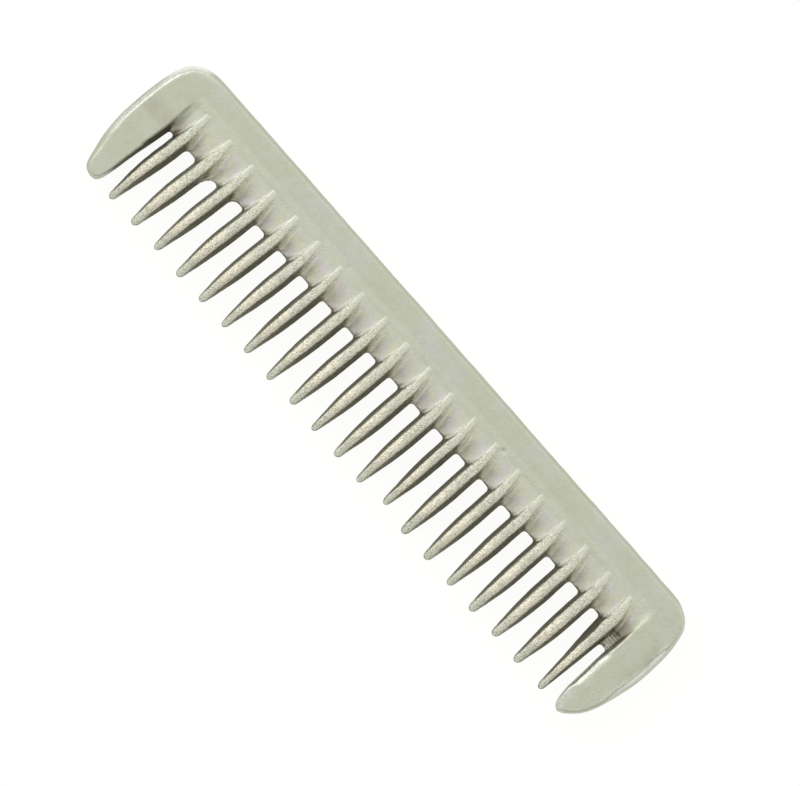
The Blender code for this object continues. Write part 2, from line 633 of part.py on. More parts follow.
def build_comb():
    """Two mirrored sheets joined by the plain band on the parting line."""
    plan, height, faces = plan_mesh()
    mesh = bmesh.new()
    upper, lower = (
        [
            mesh.verts.new((x * METRES, y * METRES, (HALF_THICK + side * z) * METRES))
            for (x, y), z in zip(plan, height)
        ]
        for side in (1, -1)
    )
    for face in faces:
        mesh.faces.new([upper[k] for k in face])
        mesh.faces.new([lower[k] for k in reversed(face)])
    below = dict(zip(upper, lower))
    rim = [edge for edge in mesh.edges if edge.is_boundary and edge.verts[0] in below]
    for edge in rim:
        start, end = edge.verts
        mesh.faces.new((start, end, below[end], below[start]))
    bmesh.ops.recalc_face_normals(mesh, faces=mesh.faces)
    return mesh


def cast_aluminium():
    material = bpy.data.materials.new("cast_aluminium")
    material.use_nodes = True
    surface = material.node_tree.nodes["Principled BSDF"]
    for name, value in ALUMINIUM.items():
        surface.inputs[name].default_value = value
    return material


def clear_scene():
    for obj in list(bpy.data.objects):
        bpy.data.objects.remove(obj, do_unlink=True)


def main():
    clear_scene()
    mesh = build_comb()
    data = bpy.data.meshes.new("comb_casting")
    mesh.to_mesh(data)
    mesh.free()
    data.materials.append(cast_aluminium())
    data.shade_smooth()
    data.set_sharp_from_angle(angle=SHARP_ANGLE)
    comb = bpy.data.objects.new("comb_casting", data)
    bpy.context.scene.collection.objects.link(comb)


main()
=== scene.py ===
"""One-piece cast aluminium mane comb, 100 mm long, lying flat.

X runs along the back, the back faces +Y, the teeth point to -Y, and the thickness
rises along Z from 0. A broad guard closes each end. The comb is one fine mesh: a plan
grid raised to a half thickness on either side of the parting plane. It has the skin of
a tumbled sand casting, with uneven crests, flash, pits and a grainy surface with some
oxidation; its colour also carries painted shade on the flanks and along the slot roots,
and painted highlights on crests and edges.
Lengths are in millimetres until the mesh is made; materials and scene use metres.
"""

import math
from types import SimpleNamespace

import bpy
import numpy as np
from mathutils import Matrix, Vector


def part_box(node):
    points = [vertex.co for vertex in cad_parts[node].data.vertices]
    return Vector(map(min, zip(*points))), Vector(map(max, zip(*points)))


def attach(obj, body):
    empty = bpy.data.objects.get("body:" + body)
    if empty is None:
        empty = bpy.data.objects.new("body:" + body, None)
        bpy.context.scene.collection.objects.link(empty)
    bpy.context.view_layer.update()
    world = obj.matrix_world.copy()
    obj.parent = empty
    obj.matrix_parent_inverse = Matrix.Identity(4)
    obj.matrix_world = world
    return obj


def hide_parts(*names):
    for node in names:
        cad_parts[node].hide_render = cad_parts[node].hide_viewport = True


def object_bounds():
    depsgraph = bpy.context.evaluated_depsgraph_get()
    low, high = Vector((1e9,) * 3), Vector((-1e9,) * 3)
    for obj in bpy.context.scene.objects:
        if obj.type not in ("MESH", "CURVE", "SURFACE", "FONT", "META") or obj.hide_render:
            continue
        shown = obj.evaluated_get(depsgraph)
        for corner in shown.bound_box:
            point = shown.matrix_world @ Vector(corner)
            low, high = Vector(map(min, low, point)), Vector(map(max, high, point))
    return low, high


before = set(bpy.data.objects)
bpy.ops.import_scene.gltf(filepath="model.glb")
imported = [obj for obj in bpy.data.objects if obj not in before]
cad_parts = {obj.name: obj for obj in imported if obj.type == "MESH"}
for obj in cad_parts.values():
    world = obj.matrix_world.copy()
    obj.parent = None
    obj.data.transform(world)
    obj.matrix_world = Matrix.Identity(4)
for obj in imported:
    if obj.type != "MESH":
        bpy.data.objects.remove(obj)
CAD_LOW, CAD_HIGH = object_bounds()
NODE = "comb_casting"

# ------------------------------------------------------------------ dimensions
METRES = 0.001
HALF_LENGTH = 50.0
BACK_Y = 10.7
THICK = 4.6
HALF_THICK = 0.5 * THICK
PARTING = 0.12  # half thickness left at every edge

TEETH = 20
PITCH = 4.426
FIRST_TOOTH_X = -42.30
AXIS_Y = -4.0  # teeth lean about this line
ROOT_Y = 1.60
TIP_Y = -10.55
TIP_TILT = -0.0022
TOOTH_HALF = 1.24
TIP_HALF = 0.49
TIP_TAPER = 0.122
TIP_BLEND = 0.35
TIP_ROUND = 0.65
FAN_LEAN = 0.055
FAN_TEETH = 13
LOWER_BOW = (-0.09, 0.06)  # first and last tooth
LOWER_BOW_Y = -0.5
CREST_HALF = 2.12
FLANK_SLOPE = 3.0

SHORT_TOOTH, SHORT_BY = 13, 0.75
LAST_LEAN = -0.0375
LAST_HALF, LAST_TIP_HALF, LAST_TAPER = 1.50, 0.45, 0.085

LAND_Y = 7.54  # the flat land along the back ends here
RECESS_STEP = 0.12
RECESS_RAMP = 1.5
RECESS_X = 44.6
RIDGE_Y = 6.35
SCOOP_Y = 6.63
SCOOP_TAIL = 0.72
SCOOP_VALLEY = 3.0
SCOOP_SHOULDER = 0.35

# Corner radii of the slot roots. A pair is (along X, along Y).
CORNER = 0.50
END_CORNER = 0.62
NARROW_CORNER = 0.36
FLASH_SLOT = 3
FLASH_CORNER = (1.30, 2.30)
SOFT_SLOT, SOFT_CORNER = 4, 1.10
WEB_SLOT_ROOT = -0.75
WEB_HALF = 0.30

CREST_ROUND = 0.30
RIDGE_LIFT = 0.14
RIDGE_NECK_Y = 1.6
RIDGE_NARROW = 0.42
LAST_NARROW = 0.55
RIDGE_NOSE = 0.32
RIDGE_BOW = 0.13
RIDGE_LEAN, RIDGE_LEAN_SPREAD = -0.15, -0.0058
CREST_OFFSET = -0.03
CROWN_LEFT, CROWN_RIGHT = 0.40, 0.08
BACK_ROUND = 0.65
GUARD_ROUND = 0.95
BEVEL = 0.86
LEFT_BEVEL_SLOPE, RIGHT_BEVEL_SLOPE = 0.80, 1.00
LEFT_SLOPE = 3.4
RIGHT_SLOPE = 4.8
INNER_BEVEL = 0.85

# Guard outlines, (x, y) from the back to the tip. Left is -X, right is +X.
LEFT_GUARD = (
    (-43.2, BACK_Y), (-45.0, 10.66), (-46.35, 10.42), (-47.5, 9.90), (-48.5, 9.00),
    (-49.22, 7.66), (-49.62, 6.15), (-49.87, 3.8), (-HALF_LENGTH, 0.0), (-49.9, -2.6),
    (-49.45, -5.4), (-48.7, -7.95), (-48.0, -9.75), (-47.35, -10.25), (-46.6, -10.44),
)
RIGHT_GUARD = (
    (44.3, BACK_Y), (46.0, 10.53), (47.7, 9.75), (48.7, 8.7), (49.2, 7.55),
    (49.75, 5.1), (HALF_LENGTH, 1.2), (49.88, -1.4), (49.48, -4.0), (48.95, -6.5),
    (48.05, -8.6), (47.0, -9.9), (46.25, -10.55), (45.65, -10.80),
)
# Walls of the guards towards the teeth, (x, y) from the slot root to the tip.
LEFT_INNER = (
    (-44.12, 1.3), (-44.32, -0.8), (-44.57, -2.7), (-44.86, -5.3),
    (-45.1, -8.0), (-45.4, -9.6), (-45.82, -10.22), LEFT_GUARD[-1],
)
RIGHT_INNER = (
    (44.08, 1.3), (44.08, -0.8), (44.1, -2.7), (44.18, -5.3), (44.32, -8.0),
    (44.58, -9.4), (44.98, -10.35), RIGHT_GUARD[-1],
)
GUARD_X = 43.6  # beyond this the surface belongs to a guard
UPPER_PITS = (  # x, y, radius, depth
    (15.80, 6.35, 0.34, 0.13), (-15.3, 7.0, 0.30, 0.07), (-2.95, 7.8, 0.40, 0.035),
    (-7.1, 8.0, 0.40, 0.03), (19.2, 7.8, 0.45, 0.035),
)
UPPER_SEED, LOWER_SEED = 100, 500

# Seeded casting differences from tooth to tooth.
rng = np.random.default_rng(20)
NUMBER = np.arange(TEETH)
CENTRE = FIRST_TOOTH_X + PITCH * NUMBER + rng.uniform(-0.05, 0.05, TEETH)
CENTRE -= 0.10 * np.sin(math.pi * NUMBER / (TEETH - 1))
LEAN = FAN_LEAN * np.clip(1 - NUMBER / FAN_TEETH, 0, 1)
LEAN += rng.uniform(-0.004, 0.004, TEETH)
LEAN[-1] = LAST_LEAN
TIPS = TIP_Y + TIP_TILT * CENTRE + rng.uniform(-0.10, 0.10, TEETH)
TIPS[SHORT_TOOTH - 1] += SHORT_BY
HALF = np.full(TEETH, TOOTH_HALF)
HALF[-1] = LAST_HALF
TIP_WIDTH = np.full(TEETH, TIP_HALF)
TIP_WIDTH[-1] = LAST_TIP_HALF
TAPER = np.full(TEETH, TIP_TAPER)
TAPER[-1] = LAST_TAPER
SLOT_ROOT = ROOT_Y + rng.uniform(-0.06, 0.06, TEETH + 1)
SLOT_ROOT[:3] -= (0.38, 0.28, 0.52)
SLOT_ROOT[-1] = WEB_SLOT_ROOT
TIP_WIDTH[:-1] += rng.uniform(-0.09, 0.07, TEETH - 1)
HALF[:-1] += rng.uniform(-0.03, 0.03, TEETH - 1)

# Finer differences of the crests and flanks.
finer = np.random.default_rng(7)
CREST_SHIFT = finer.uniform(-0.05, 0.05, TEETH)
CREST_DROP = finer.uniform(0.0, 0.04, TEETH)
FLANK = FLANK_SLOPE * finer.uniform(0.93, 1.09, TEETH)
RIGHT_FLANK, LEFT_FLANK = 1.04 * FLANK, 1.40 * FLANK
RIGHT_FLANK[-1], LEFT_FLANK[-1] = 3.8, 2.5
RIDGE_START = RIDGE_Y + finer.uniform(-0.10, 0.22, TEETH)
BOW = np.linspace(*LOWER_BOW, TEETH)
BOW[-1] = 0.0
UPPER_LEAN = RIDGE_LEAN + RIDGE_LEAN_SPREAD * (CENTRE - CENTRE[0])
NARROW = np.full(TEETH, RIDGE_NARROW)
NARROW[-1] = LAST_NARROW

# ------------------------------------------------------------------- mesh counts
HALF_STEPS = np.array((0.0, 0.17, 0.31, 0.41, 0.50, 0.60, 0.74, 0.89, 0.975, 1.0))
TOOTH_STEPS = np.concatenate([-HALF_STEPS[::-1], HALF_STEPS[1:]])  # shares of the half width
SLOT_ARC = 4
SLOT_FLAT = 3
BODY_TOP = (7.54, 7.2, 6.9, 6.68, 6.56, 6.46, 6.36, 6.26, 6.15, 6.02, 5.87)  # Y of the rows
BODY_ROWS = 17
TOOTH_ROWS = 48
TIP_ROWS = 6
GUARD_ROWS = 46
BACK_POINTS = 900
STRIP_STEPS = (  # shares from the outer outline to the body
    0.0, 0.012, 0.04, 0.08, 0.12, 0.155, 0.19, 0.24, 0.40,
    0.60, 0.78, 0.85, 0.88, 0.91, 0.955, 0.99, 1.0,
)
# Places on the outline that anchor the strip.
LEFT_CORNER, RIGHT_CORNER = (-48.5, 9.0), (48.55, 8.9)
STRAIGHT_X = 39.5


# ------------------------------------------------------------------ small helpers
def smooth_min(a, b, blend):
    share = np.clip(0.5 + 0.5 * (b - a) / blend, 0, 1)
    return b * (1 - share) + a * share - blend * share * (1 - share)


def smooth_max(a, b, blend):
    return -smooth_min(-a, -b, blend)


def smooth_step(share):
    share = np.clip(share, 0, 1)
    return share * share * (3 - 2 * share)


def above(value, start, width):
    """0 up to start, easing to 1 a width above it."""
    return smooth_step((value - start) / width)


def below(value, start, width):
    """0 down to start, easing to 1 a width below it."""
    return smooth_step((start - value) / width)


def bell(value, middle, width):
    return np.exp(-(((value - middle) / width) ** 2))


def noise(x, y, cell, seed):
    """Smooth value noise in -1..1 with features of about one cell."""
    table = np.random.default_rng(seed).uniform(-1, 1, (256, 256))
    x, y = x / cell + 512.37, y / cell + 512.71  # off the lattice and always positive
    i, j = np.floor(x).astype(int), np.floor(y).astype(int)
    a, b = smooth_step(x - i), smooth_step(y - j)
    i0, j0, i1, j1 = i & 255, j & 255, (i + 1) & 255, (j + 1) & 255
    near = table[i0, j0] * (1 - a) + table[i1, j0] * a
    far = table[i0, j1] * (1 - a) + table[i1, j1] * a
    return near * (1 - b) + far * b


def layered(x, y, cell, seed):
    """Three layers of noise, each finer and weaker than the last."""
    total, weight = 0.0, 0.0
    for k in range(3):
        gain = 0.55**k
        total = total + gain * noise(x, y, cell / 2**k, seed + k)
        weight += gain
    return total / weight


def spline(points, step):
    """A centripetal Catmull-Rom curve through the points."""

    def between(p, q, start, end):
        return (p * (end - x) + q * (x - start)) / (end - start)

    points = np.array(points, float)
    points = np.vstack([2 * points[0] - points[1], points, 2 * points[-1] - points[-2]])
    curve = []
    for a, b, c, d in zip(points, points[1:], points[2:], points[3:]):
        gaps = [math.sqrt(math.dist(*pair)) for pair in ((a, b), (b, c), (c, d))]
        knots = np.cumsum([0.0] + gaps)
        count = max(1, round(math.dist(b, c) / step))
        for x in np.linspace(knots[1], knots[2], count, endpoint=False):
            ab = between(a, b, knots[0], knots[1])
            bc = between(b, c, knots[1], knots[2])
            cd = between(c, d, knots[2], knots[3])
            low = between(ab, bc, knots[0], knots[2])
            high = between(bc, cd, knots[1], knots[3])
            curve.append(between(low, high, knots[1], knots[2]))
    curve.append(points[-2])
    return np.array(curve)


class Path:
    """A polyline measured by its length."""

    def __init__(self, points):
        self.points = np.asarray(points, float)
        lengths = np.linalg.norm(np.diff(self.points, axis=0), axis=1)
        self.along = np.concatenate([[0], np.cumsum(lengths)])
        self.length = self.along[-1]

    def at(self, places):
        columns = [np.interp(places, self.along, self.points[:, k]) for k in (0, 1)]
        return np.column_stack(columns)

    def nearest(self, point):
        return self.along[np.linalg.norm(self.points - point, axis=1).argmin()]


# --------------------------------------------------------------- teeth and slots
def tooth_axis(i, y):
    """X of the middle of tooth i at each y."""
    y = np.asarray(y, float)
    low = np.minimum(y, ROOT_Y) - AXIS_Y
    up = np.clip((y - ROOT_Y) / (RIDGE_Y - ROOT_Y), 0, 1)
    ridge = UPPER_LEAN[i] * up**1.6 + 4 * RIDGE_BOW * up * (1 - up)
    down = np.clip((LOWER_BOW_Y - y) / (LOWER_BOW_Y - TIP_Y), 0, 1)
    bow = 4 * BOW[i] * down * (1 - down)
    return CENTRE[i] + LEAN[i] * (low + 0.3 * np.maximum(y - ROOT_Y, 0)) + ridge + bow


def tooth_half(i, y):
    """Half width of tooth i, and of its ridge on the body, at each y."""
    y = np.asarray(y, float)
    rise = np.maximum(y - TIPS[i], 0)
    half = smooth_min(HALF[i], TIP_WIDTH[i] + TAPER[i] * rise, TIP_BLEND)
    half = half * np.sqrt(1 - (1 - np.minimum(rise / TIP_ROUND, 1)) ** 2)
    neck = np.clip((y - RIDGE_NECK_Y) / (RIDGE_START[i] - RIDGE_NECK_Y), 0, 1)
    return half - NARROW[i] * neck**1.2


def crest_height(i, y):
    y = np.asarray(y, float)
    rise = np.maximum(y - TIPS[i], 0)
    lift = RIDGE_LIFT * np.clip((y - ROOT_Y) / (RIDGE_Y - ROOT_Y), 0, 1)
    height = smooth_min(CREST_HALF - CREST_DROP[i] + lift, 0.52 + 0.29 * rise, 0.7)
    return height * np.sqrt(1 - 0.75 * (1 - np.minimum(rise / 0.9, 1)) ** 2)


LEFT_IN = spline(LEFT_INNER, 0.12)
RIGHT_IN = spline(RIGHT_INNER, 0.12)


def wall_x(curve, y):
    return np.interp(y, curve[::-1, 1], curve[::-1, 0])


# Slot j lies between tooth j - 1 and tooth j; the end slots touch the guards.
def left_wall(j, y):
    if j == 0:
        return wall_x(LEFT_IN, y)
    return tooth_axis(j - 1, y) + tooth_half(j - 1, y)


def right_wall(j, y):
    if j == TEETH:
        return wall_x(RIGHT_IN, y)
    return tooth_axis(j, y) - tooth_half(j, y)


def corners(j):
    plain = END_CORNER if j == 1 else CORNER
    left = right = (plain, plain)
    if j == FLASH_SLOT - 1:
        left = FLASH_CORNER
    if j == SOFT_SLOT - 1:
        left = (SOFT_CORNER, SOFT_CORNER)
    if j in (0, TEETH):
        left = right = (NARROW_CORNER, NARROW_CORNER)
    return left, right


def slot_root(j):
    """The closed end of slot j, from its -X wall to its +X wall."""
    left, right = corners(j)
    root = SLOT_ROOT[j]
    turn = np.linspace(0, 0.5 * math.pi, SLOT_ARC + 1)

    def arc(wall, radii, side):
        x = float(wall(j, root - radii[1])) + side * radii[0] * (1 - np.cos(turn))
        return np.column_stack([x, root - radii[1] * (1 - np.sin(turn))])

    start, end = arc(left_wall, left, 1), arc(right_wall, right, -1)
    flat = np.linspace(start[-1, 0], end[-1, 0], SLOT_FLAT + 1)[1:-1]
    return np.vstack([start, np.column_stack([flat, np.full(len(flat), root)]), end[::-1]])


# --------------------------------------------------------------- half thickness
def distance(points, line):
    """Distance of each point from a polyline, searching only near its own X."""
    a, b = line[:-1], line[1:]
    low, high = np.minimum(a[:, 0], b[:, 0]), np.maximum(a[:, 0], b[:, 0])
    out = np.empty(len(points))
    order = np.argsort(points[:, 0], kind="stable")
    for part in np.array_split(order, max(1, len(points) // 1500)):
        some = points[part]
        near = (high > some[:, 0].min() - 6) & (low < some[:, 0].max() + 6)
        start, run = a[near], (b - a)[near]
        size = np.maximum((run**2).sum(1), 1e-12)
        share = np.clip(((some[:, None] - start) * run).sum(2) / size, 0, 1)
        gap = some[:, None] - start - share[..., None] * run
        out[part] = np.sqrt((gap**2).sum(2).min(1))
    return out


class Plan:
    """Per point: its place, its nearest tooth and its distance from the edges."""

    def __init__(self, points, outer, inner):
        x, y = self.x, self.y = points.T
        axes = np.array([tooth_axis(i, y) for i in range(TEETH)])
        self.tooth = np.abs(axes - x).argmin(0)
        pick = self.tooth, np.arange(len(x))
        self.signed = x - axes[pick]
        self.off = np.abs(self.signed)
        self.half = np.array([tooth_half(i, y) for i in range(TEETH)])[pick]
        self.crest = np.array([crest_height(i, y) for i in range(TEETH)])[pick]
        self.tip = y - TIPS[self.tooth]
        self.from_inner = distance(points, inner)
        self.from_outer = distance(points, outer)

        middles = 0.5 * (axes[1:] + axes[:-1]).mean(1)
        middles = np.concatenate([[middles[0] - PITCH], middles, [middles[-1] + PITCH]])
        self.root = np.interp(x, middles, np.append(SLOT_ROOT[:-1], ROOT_Y))

        # Slopes of the tooth flanks and of the guard walls, steeper towards the tips.
        steepens = 1 + 1.5 * (self.tooth == TEETH - 1) * below(y, 0, 7.5)
        left_flank = LEFT_FLANK[self.tooth] * steepens
        self.slope = np.where(self.signed > 0, RIGHT_FLANK[self.tooth], left_flank)
        left_slope = LEFT_SLOPE + 4.0 * below(y, -0.5, 6.0)
        right_slope = RIGHT_SLOPE + 9.0 * below(y, 0.5, 3.5)
        self.wall = np.where(x < 0, left_slope, right_slope)


def body_height(plan, seed):
    """The recessed plate, scooped out towards the slots."""
    x, y, off = plan.x, plan.y, plan.off
    recess = below(y, LAND_Y + 0.10 * layered(x, y, 5, seed), RECESS_RAMP)
    plate = HALF_THICK - RECESS_STEP * recess * below(np.abs(x), RECESS_X, 1.0)

    # Scoops fall along a quarter ellipse, deepest between the teeth.
    start = SCOOP_Y + 0.25 * noise(x, 0 * y, 4.4, seed + 9)
    share = np.clip((start - y) / (start - plan.root + SCOOP_TAIL), 0, 0.995)
    fall = 1 - np.sqrt(1 - share * share)
    aside = np.clip(off / (0.5 * PITCH), 0, 1)
    scale = SCOOP_SHOULDER + (SCOOP_VALLEY - SCOOP_SHOULDER) * (1 - (1 - aside) ** 2)
    depth = scale * fall * (1 + 0.06 * noise(x, y, 3.1, seed + 5))
    depth = depth + 0.05 * below(y, start - 0.1, 0.9) + 0.10 * aside * below(y, 4.2, 2.6) ** 2

    # Thin ribs along the foot of each ridge, spreading towards the root.
    low_down = np.clip((5.2 - y) / 3.2, 0, 1)
    foot = np.where(plan.signed > 0, 0.98 + 0.62 * low_down, 0.50 + 0.68 * low_down)
    foot = foot + 0.06 * noise(x, y, 1.1, seed + 6)
    gain = 0.26 * (1 + 0.7 * noise(plan.tooth * 7.3, 0.0 * y, 1.0, seed + 8))
    valley = plate - depth + gain * fall * bell(off, foot, 0.16)

    # A thin ribbed web fills the head of the +X end slot.
    ribs = 0.05 * np.sin(2 * math.pi * (y + 0.15 * noise(x, y, 0.5, seed + 7)) / 0.42)
    web = np.where((x > 40) & (y > WEB_SLOT_ROOT - 0.1), WEB_HALF + ribs, -9.0)
    valley = smooth_max(valley, web, 0.15)
    # Below the roots the body drops away, gently in two bands near the -X end.
    gentle = (x > -37.6) & (x < -35.2) | (x > -33.4) & (x < -31.6)
    drop = np.where(gentle, 0.9, 6.0) * np.clip(plan.root - y, 0, None)
    return np.minimum(np.where(x < 42.5, valley - drop, valley), plate)


def ridge_height(plan, seed):
    """The crests and flanks of the teeth, running up the body as ridges."""
    x, y, signed = plan.x, plan.y, plan.signed
    shift = CREST_OFFSET + CREST_SHIFT[plan.tooth] + 0.03 * noise(x, y, 2.3, seed + 11)
    across = signed - shift * below(y, RIDGE_Y, 3)
    up = np.clip((y - ROOT_Y) / (RIDGE_Y - ROOT_Y), 0, 1)
    crown = np.where(across < 0, CROWN_LEFT * (1 - 0.45 * up), CROWN_RIGHT) * across**2
    crown = crown + 0.34 * np.clip(across, 0, None) ** 2 * below(y, 1.5, 3.5)
    edge_off = plan.half - (plan.crest - PARTING) / plan.slope
    run_out = plan.slope * np.where(signed > 0, 1 - 0.90 * above(y, 3.0, 2.2), 1.0)
    ridge = smooth_min(
        plan.crest - crown + 0.018 * noise(x, y, 1.6, seed + 13),
        plan.crest + run_out * (edge_off - plan.off) + 0.05 * noise(x, y, 0.9, seed + 17),
        CREST_ROUND - 0.20 * above(y, ROOT_Y, 3.0),
    )
    nose = np.clip((y - RIDGE_START[plan.tooth]) / RIDGE_NOSE + 1, 0, None)
    return np.where(nose > 3, -9.0, ridge - 0.14 * nose**2)


def soften_inner(plan, height, seed):
    """Slope the surface down to the slots, and bevel the +X guard along its slot."""
    x, y = plan.x, plan.y
    steep = plan.slope + (plan.wall - plan.slope) * above(np.abs(x), 43.4, 0.8)
    soft = np.where(np.abs(x) > 43.4, 0.08, 0.15)
    height = smooth_min(height, PARTING + steep * plan.from_inner, soft)
    bevel = INNER_BEVEL * (1 + 0.16 * noise(x, y, 1.4, seed + 25)) * (y < 6.3)
    bevel = bevel * (1 - below(y, -5.2, 3.4))
    cap = HALF_THICK - 0.75 * np.clip(bevel - plan.from_inner, -0.1, None)
    return np.where(x > GUARD_X, smooth_min(height, cap, 0.06), height)


def rim_height(plan, seed):
    """The rounded outer edge, with an uneven bevel on the guards."""
    x, y, from_outer = plan.x, plan.y, plan.from_outer
    # Width of the rounding: wider on the guards, narrower at their tips and the +X head.
    wide = BACK_ROUND + (GUARD_ROUND - BACK_ROUND) * above(np.abs(x), 43, 5)
    wide = wide * (1 + 0.08 * noise(x, y, 5, seed + 21))
    tip_right, tip_left = (x > 40) * below(y, -2.5, 3.0), (x < -40) * below(y, -6.0, 3.0)
    wide = wide * (1 - 0.55 * tip_right - 0.35 * tip_left)
    wide = wide * (1 - 0.50 * above(x, 44, 2) * above(y, 3.5, 2.5))
    share = np.clip(1 - from_outer / wide, 0, 1)
    rim = PARTING + (HALF_THICK - PARTING) * (1 - share**1.7) ** (1 / 1.7)

    # Width of the bevel, fading out at the head and the foot of each guard.
    rough = 0.11 * noise(x, y, 1.2, seed + 23) + 0.09 * noise(x, y, 0.45, seed + 24)
    edge = BEVEL + np.where(x > 0, 0.12, 0.0) + rough
    foot = np.where(x > 0, above(y, -4.6, 3.6), above(y, -6.4, 3.0))
    head = np.where(x > 0, below(y, 6.2, 1.8), below(x, -44.6, 2.2))
    edge = edge * head * foot * (np.abs(x) > 44.6)
    left_slope = LEFT_BEVEL_SLOPE * (1 + 0.30 * noise(x, y, 0.7, seed + 26))
    slope = np.where(x < 0, left_slope, RIGHT_BEVEL_SLOPE)
    facet = HALF_THICK - slope * np.clip(edge - from_outer, -0.1, None)
    return smooth_min(rim, facet, 0.05)


def sand_skin(plan, height, seed, pits):
    """Long hollows, small lumps that fade on the lands, and pits."""
    x, y = plan.x, plan.y
    on_land = above(height, 2.05, 0.2)
    height = height - 0.012 * (1 + layered(x, y, 9, seed + 31)) * above(plan.from_outer, 0, 1.0)
    height = height - 0.010 * (1 - 0.75 * on_land) * (1 + layered(x, y, 0.75, seed + 41))
    small = np.random.default_rng(seed + 60).uniform((-44, 2.4), (44, 9.6), (9, 2))
    for pit_x, pit_y, radius, depth in [*pits, *((*place, 0.17, 0.03) for place in small)]:
        gap = np.hypot(x - pit_x, (y - pit_y) * 1.15) / radius
        height = height - depth * np.exp(-gap * gap * 1.6)
    return height


def half_thickness(plan, seed, pits=()):
    x, y = plan.x, plan.y
    ridge_blend = 0.12 - 0.08 * above(y, 2.0, 3.0)
    height = smooth_max(body_height(plan, seed), ridge_height(plan, seed), ridge_blend)
    inside = np.maximum(wall_x(LEFT_IN, y) - x, x - wall_x(RIGHT_IN, y))
    guard = smooth_min(HALF_THICK, PARTING + plan.wall * inside, 0.10)
    height = np.minimum(smooth_max(height, guard, 0.06), HALF_THICK)
    height = soften_inner(plan, height, seed)
    height = np.minimum(height, rim_height(plan, seed))
    return np.clip(sand_skin(plan, height, seed, pits), PARTING, HALF_THICK)


# ------------------------------------------------------------------- plan grids
def eased(count, power):
    """0..1 in steps that shrink towards 1."""
    return 1 - (1 - np.linspace(0, 1, count + 1)) ** power


def body_columns():
    """Columns across the body: (kind, index, across value, y at the bottom)."""
    columns = []
    roots = [slot_root(j) for j in range(TEETH + 1)]
    for j, curve in enumerate(roots):
        if j:
            start, end = roots[j - 1][-1, 1], curve[0, 1]
            for value in TOOTH_STEPS:
                bottom = start + (end - start) * 0.5 * (value + 1)
                columns.append(("tooth", j - 1, value, bottom))
        left, right = left_wall(j, curve[:, 1]), right_wall(j, curve[:, 1])
        shares = (curve[:, 0] - left) / (right - left)
        # Only the end slots keep the points on their outermost walls.
        first = 0 if j == 0 else 1
        last = len(curve) if j == TEETH else len(curve) - 1
        for k in range(first, last):
            columns.append(("slot", j, shares[k], curve[k, 1]))
    return columns


def body_grid(columns):
    rows = eased(BODY_ROWS, 1.25)[1:]
    grid = np.empty((len(BODY_TOP) + BODY_ROWS, len(columns), 2))
    for c, (kind, index, value, bottom) in enumerate(columns):
        y = np.append(BODY_TOP, BODY_TOP[-1] + rows * (bottom - BODY_TOP[-1]))
        if kind == "tooth":
            x = tooth_axis(index, y) + value * tooth_half(index, y)
        else:
            x = left_wall(index, y) * (1 - value) + right_wall(index, y) * value
        grid[:, c] = np.column_stack([x, y])
    return grid


def tooth_grid(i, top):
    """Tooth i from the bottom row of the body to its rounded tip."""
    shares = np.linspace(0, 1, TOOTH_ROWS + 1)[1:]
    rows = [top[:, 1] + share * (TIPS[i] + TIP_ROUND - top[:, 1]) for share in shares]
    for angle in np.linspace(0, 0.5 * math.pi, TIP_ROWS + 1)[1:]:
        rows.append(np.full(len(top), TIPS[i] + TIP_ROUND * (1 - math.sin(angle))))
    grid = [np.column_stack([tooth_axis(i, y) + TOOTH_STEPS * tooth_half(i, y), y]) for y in rows]
    return np.array([top] + grid)


def guard_rows(wall, joint):
    """Points down a guard's wall from its joint with the body, and their shares."""
    path = Path(np.vstack([joint, wall[wall[:, 1] < joint[1] - 0.02]]))
    places = path.length * eased(GUARD_ROWS, 1.6)
    points = path.at(places)
    points[0], points[-1] = joint, wall[-1]
    return points, places / path.length


def edge_strip(body, outer, left_rows, right_rows):
    """The strip that follows the outside: guard, corner, back, corner, guard."""
    outside = Path(outer)
    left_points, left_share = left_rows
    right_points, right_share = right_rows
    up, across, down = body[::-1, 0], body[0], body[:, -1]

    left_joint = outside.nearest((-HALF_LENGTH, body[-1, 0, 1]))
    left_corner = outside.nearest(LEFT_CORNER)
    right_corner = outside.nearest(RIGHT_CORNER)
    right_joint = outside.nearest((HALF_LENGTH, body[-1, -1, 1]))
    first = int(np.searchsorted(across[:, 0], -STRAIGHT_X))
    last = int(np.searchsorted(across[:, 0], STRAIGHT_X))
    back_start = outside.nearest((across[first, 0], BACK_Y))
    back_end = outside.nearest((across[last, 0], BACK_Y))

    def spread(points, start, end):
        run = Path(points).along
        return start + (end - start) * run / run[-1]

    places = np.concatenate([
        (left_joint * (1 - left_share))[::-1],
        spread(up, left_joint, left_corner)[1:],
        spread(across[: first + 1], left_corner, back_start)[1:],
        back_start + (across[first + 1 : last + 1, 0] - across[first, 0]),
        spread(across[last:], back_end, right_corner)[1:],
        spread(down, right_corner, right_joint)[1:],
        (right_joint + (outside.length - right_joint) * right_share)[1:],
    ])
    inner = np.vstack([left_points[::-1], up[1:], across[1:], down[1:], right_points[1:]])
    rim = outside.at(places)
    rim[0], rim[-1] = inner[0], inner[-1]
    steps = np.array(STRIP_STEPS)[None, :, None]
    return rim[:, None] + (inner - rim)[:, None] * steps


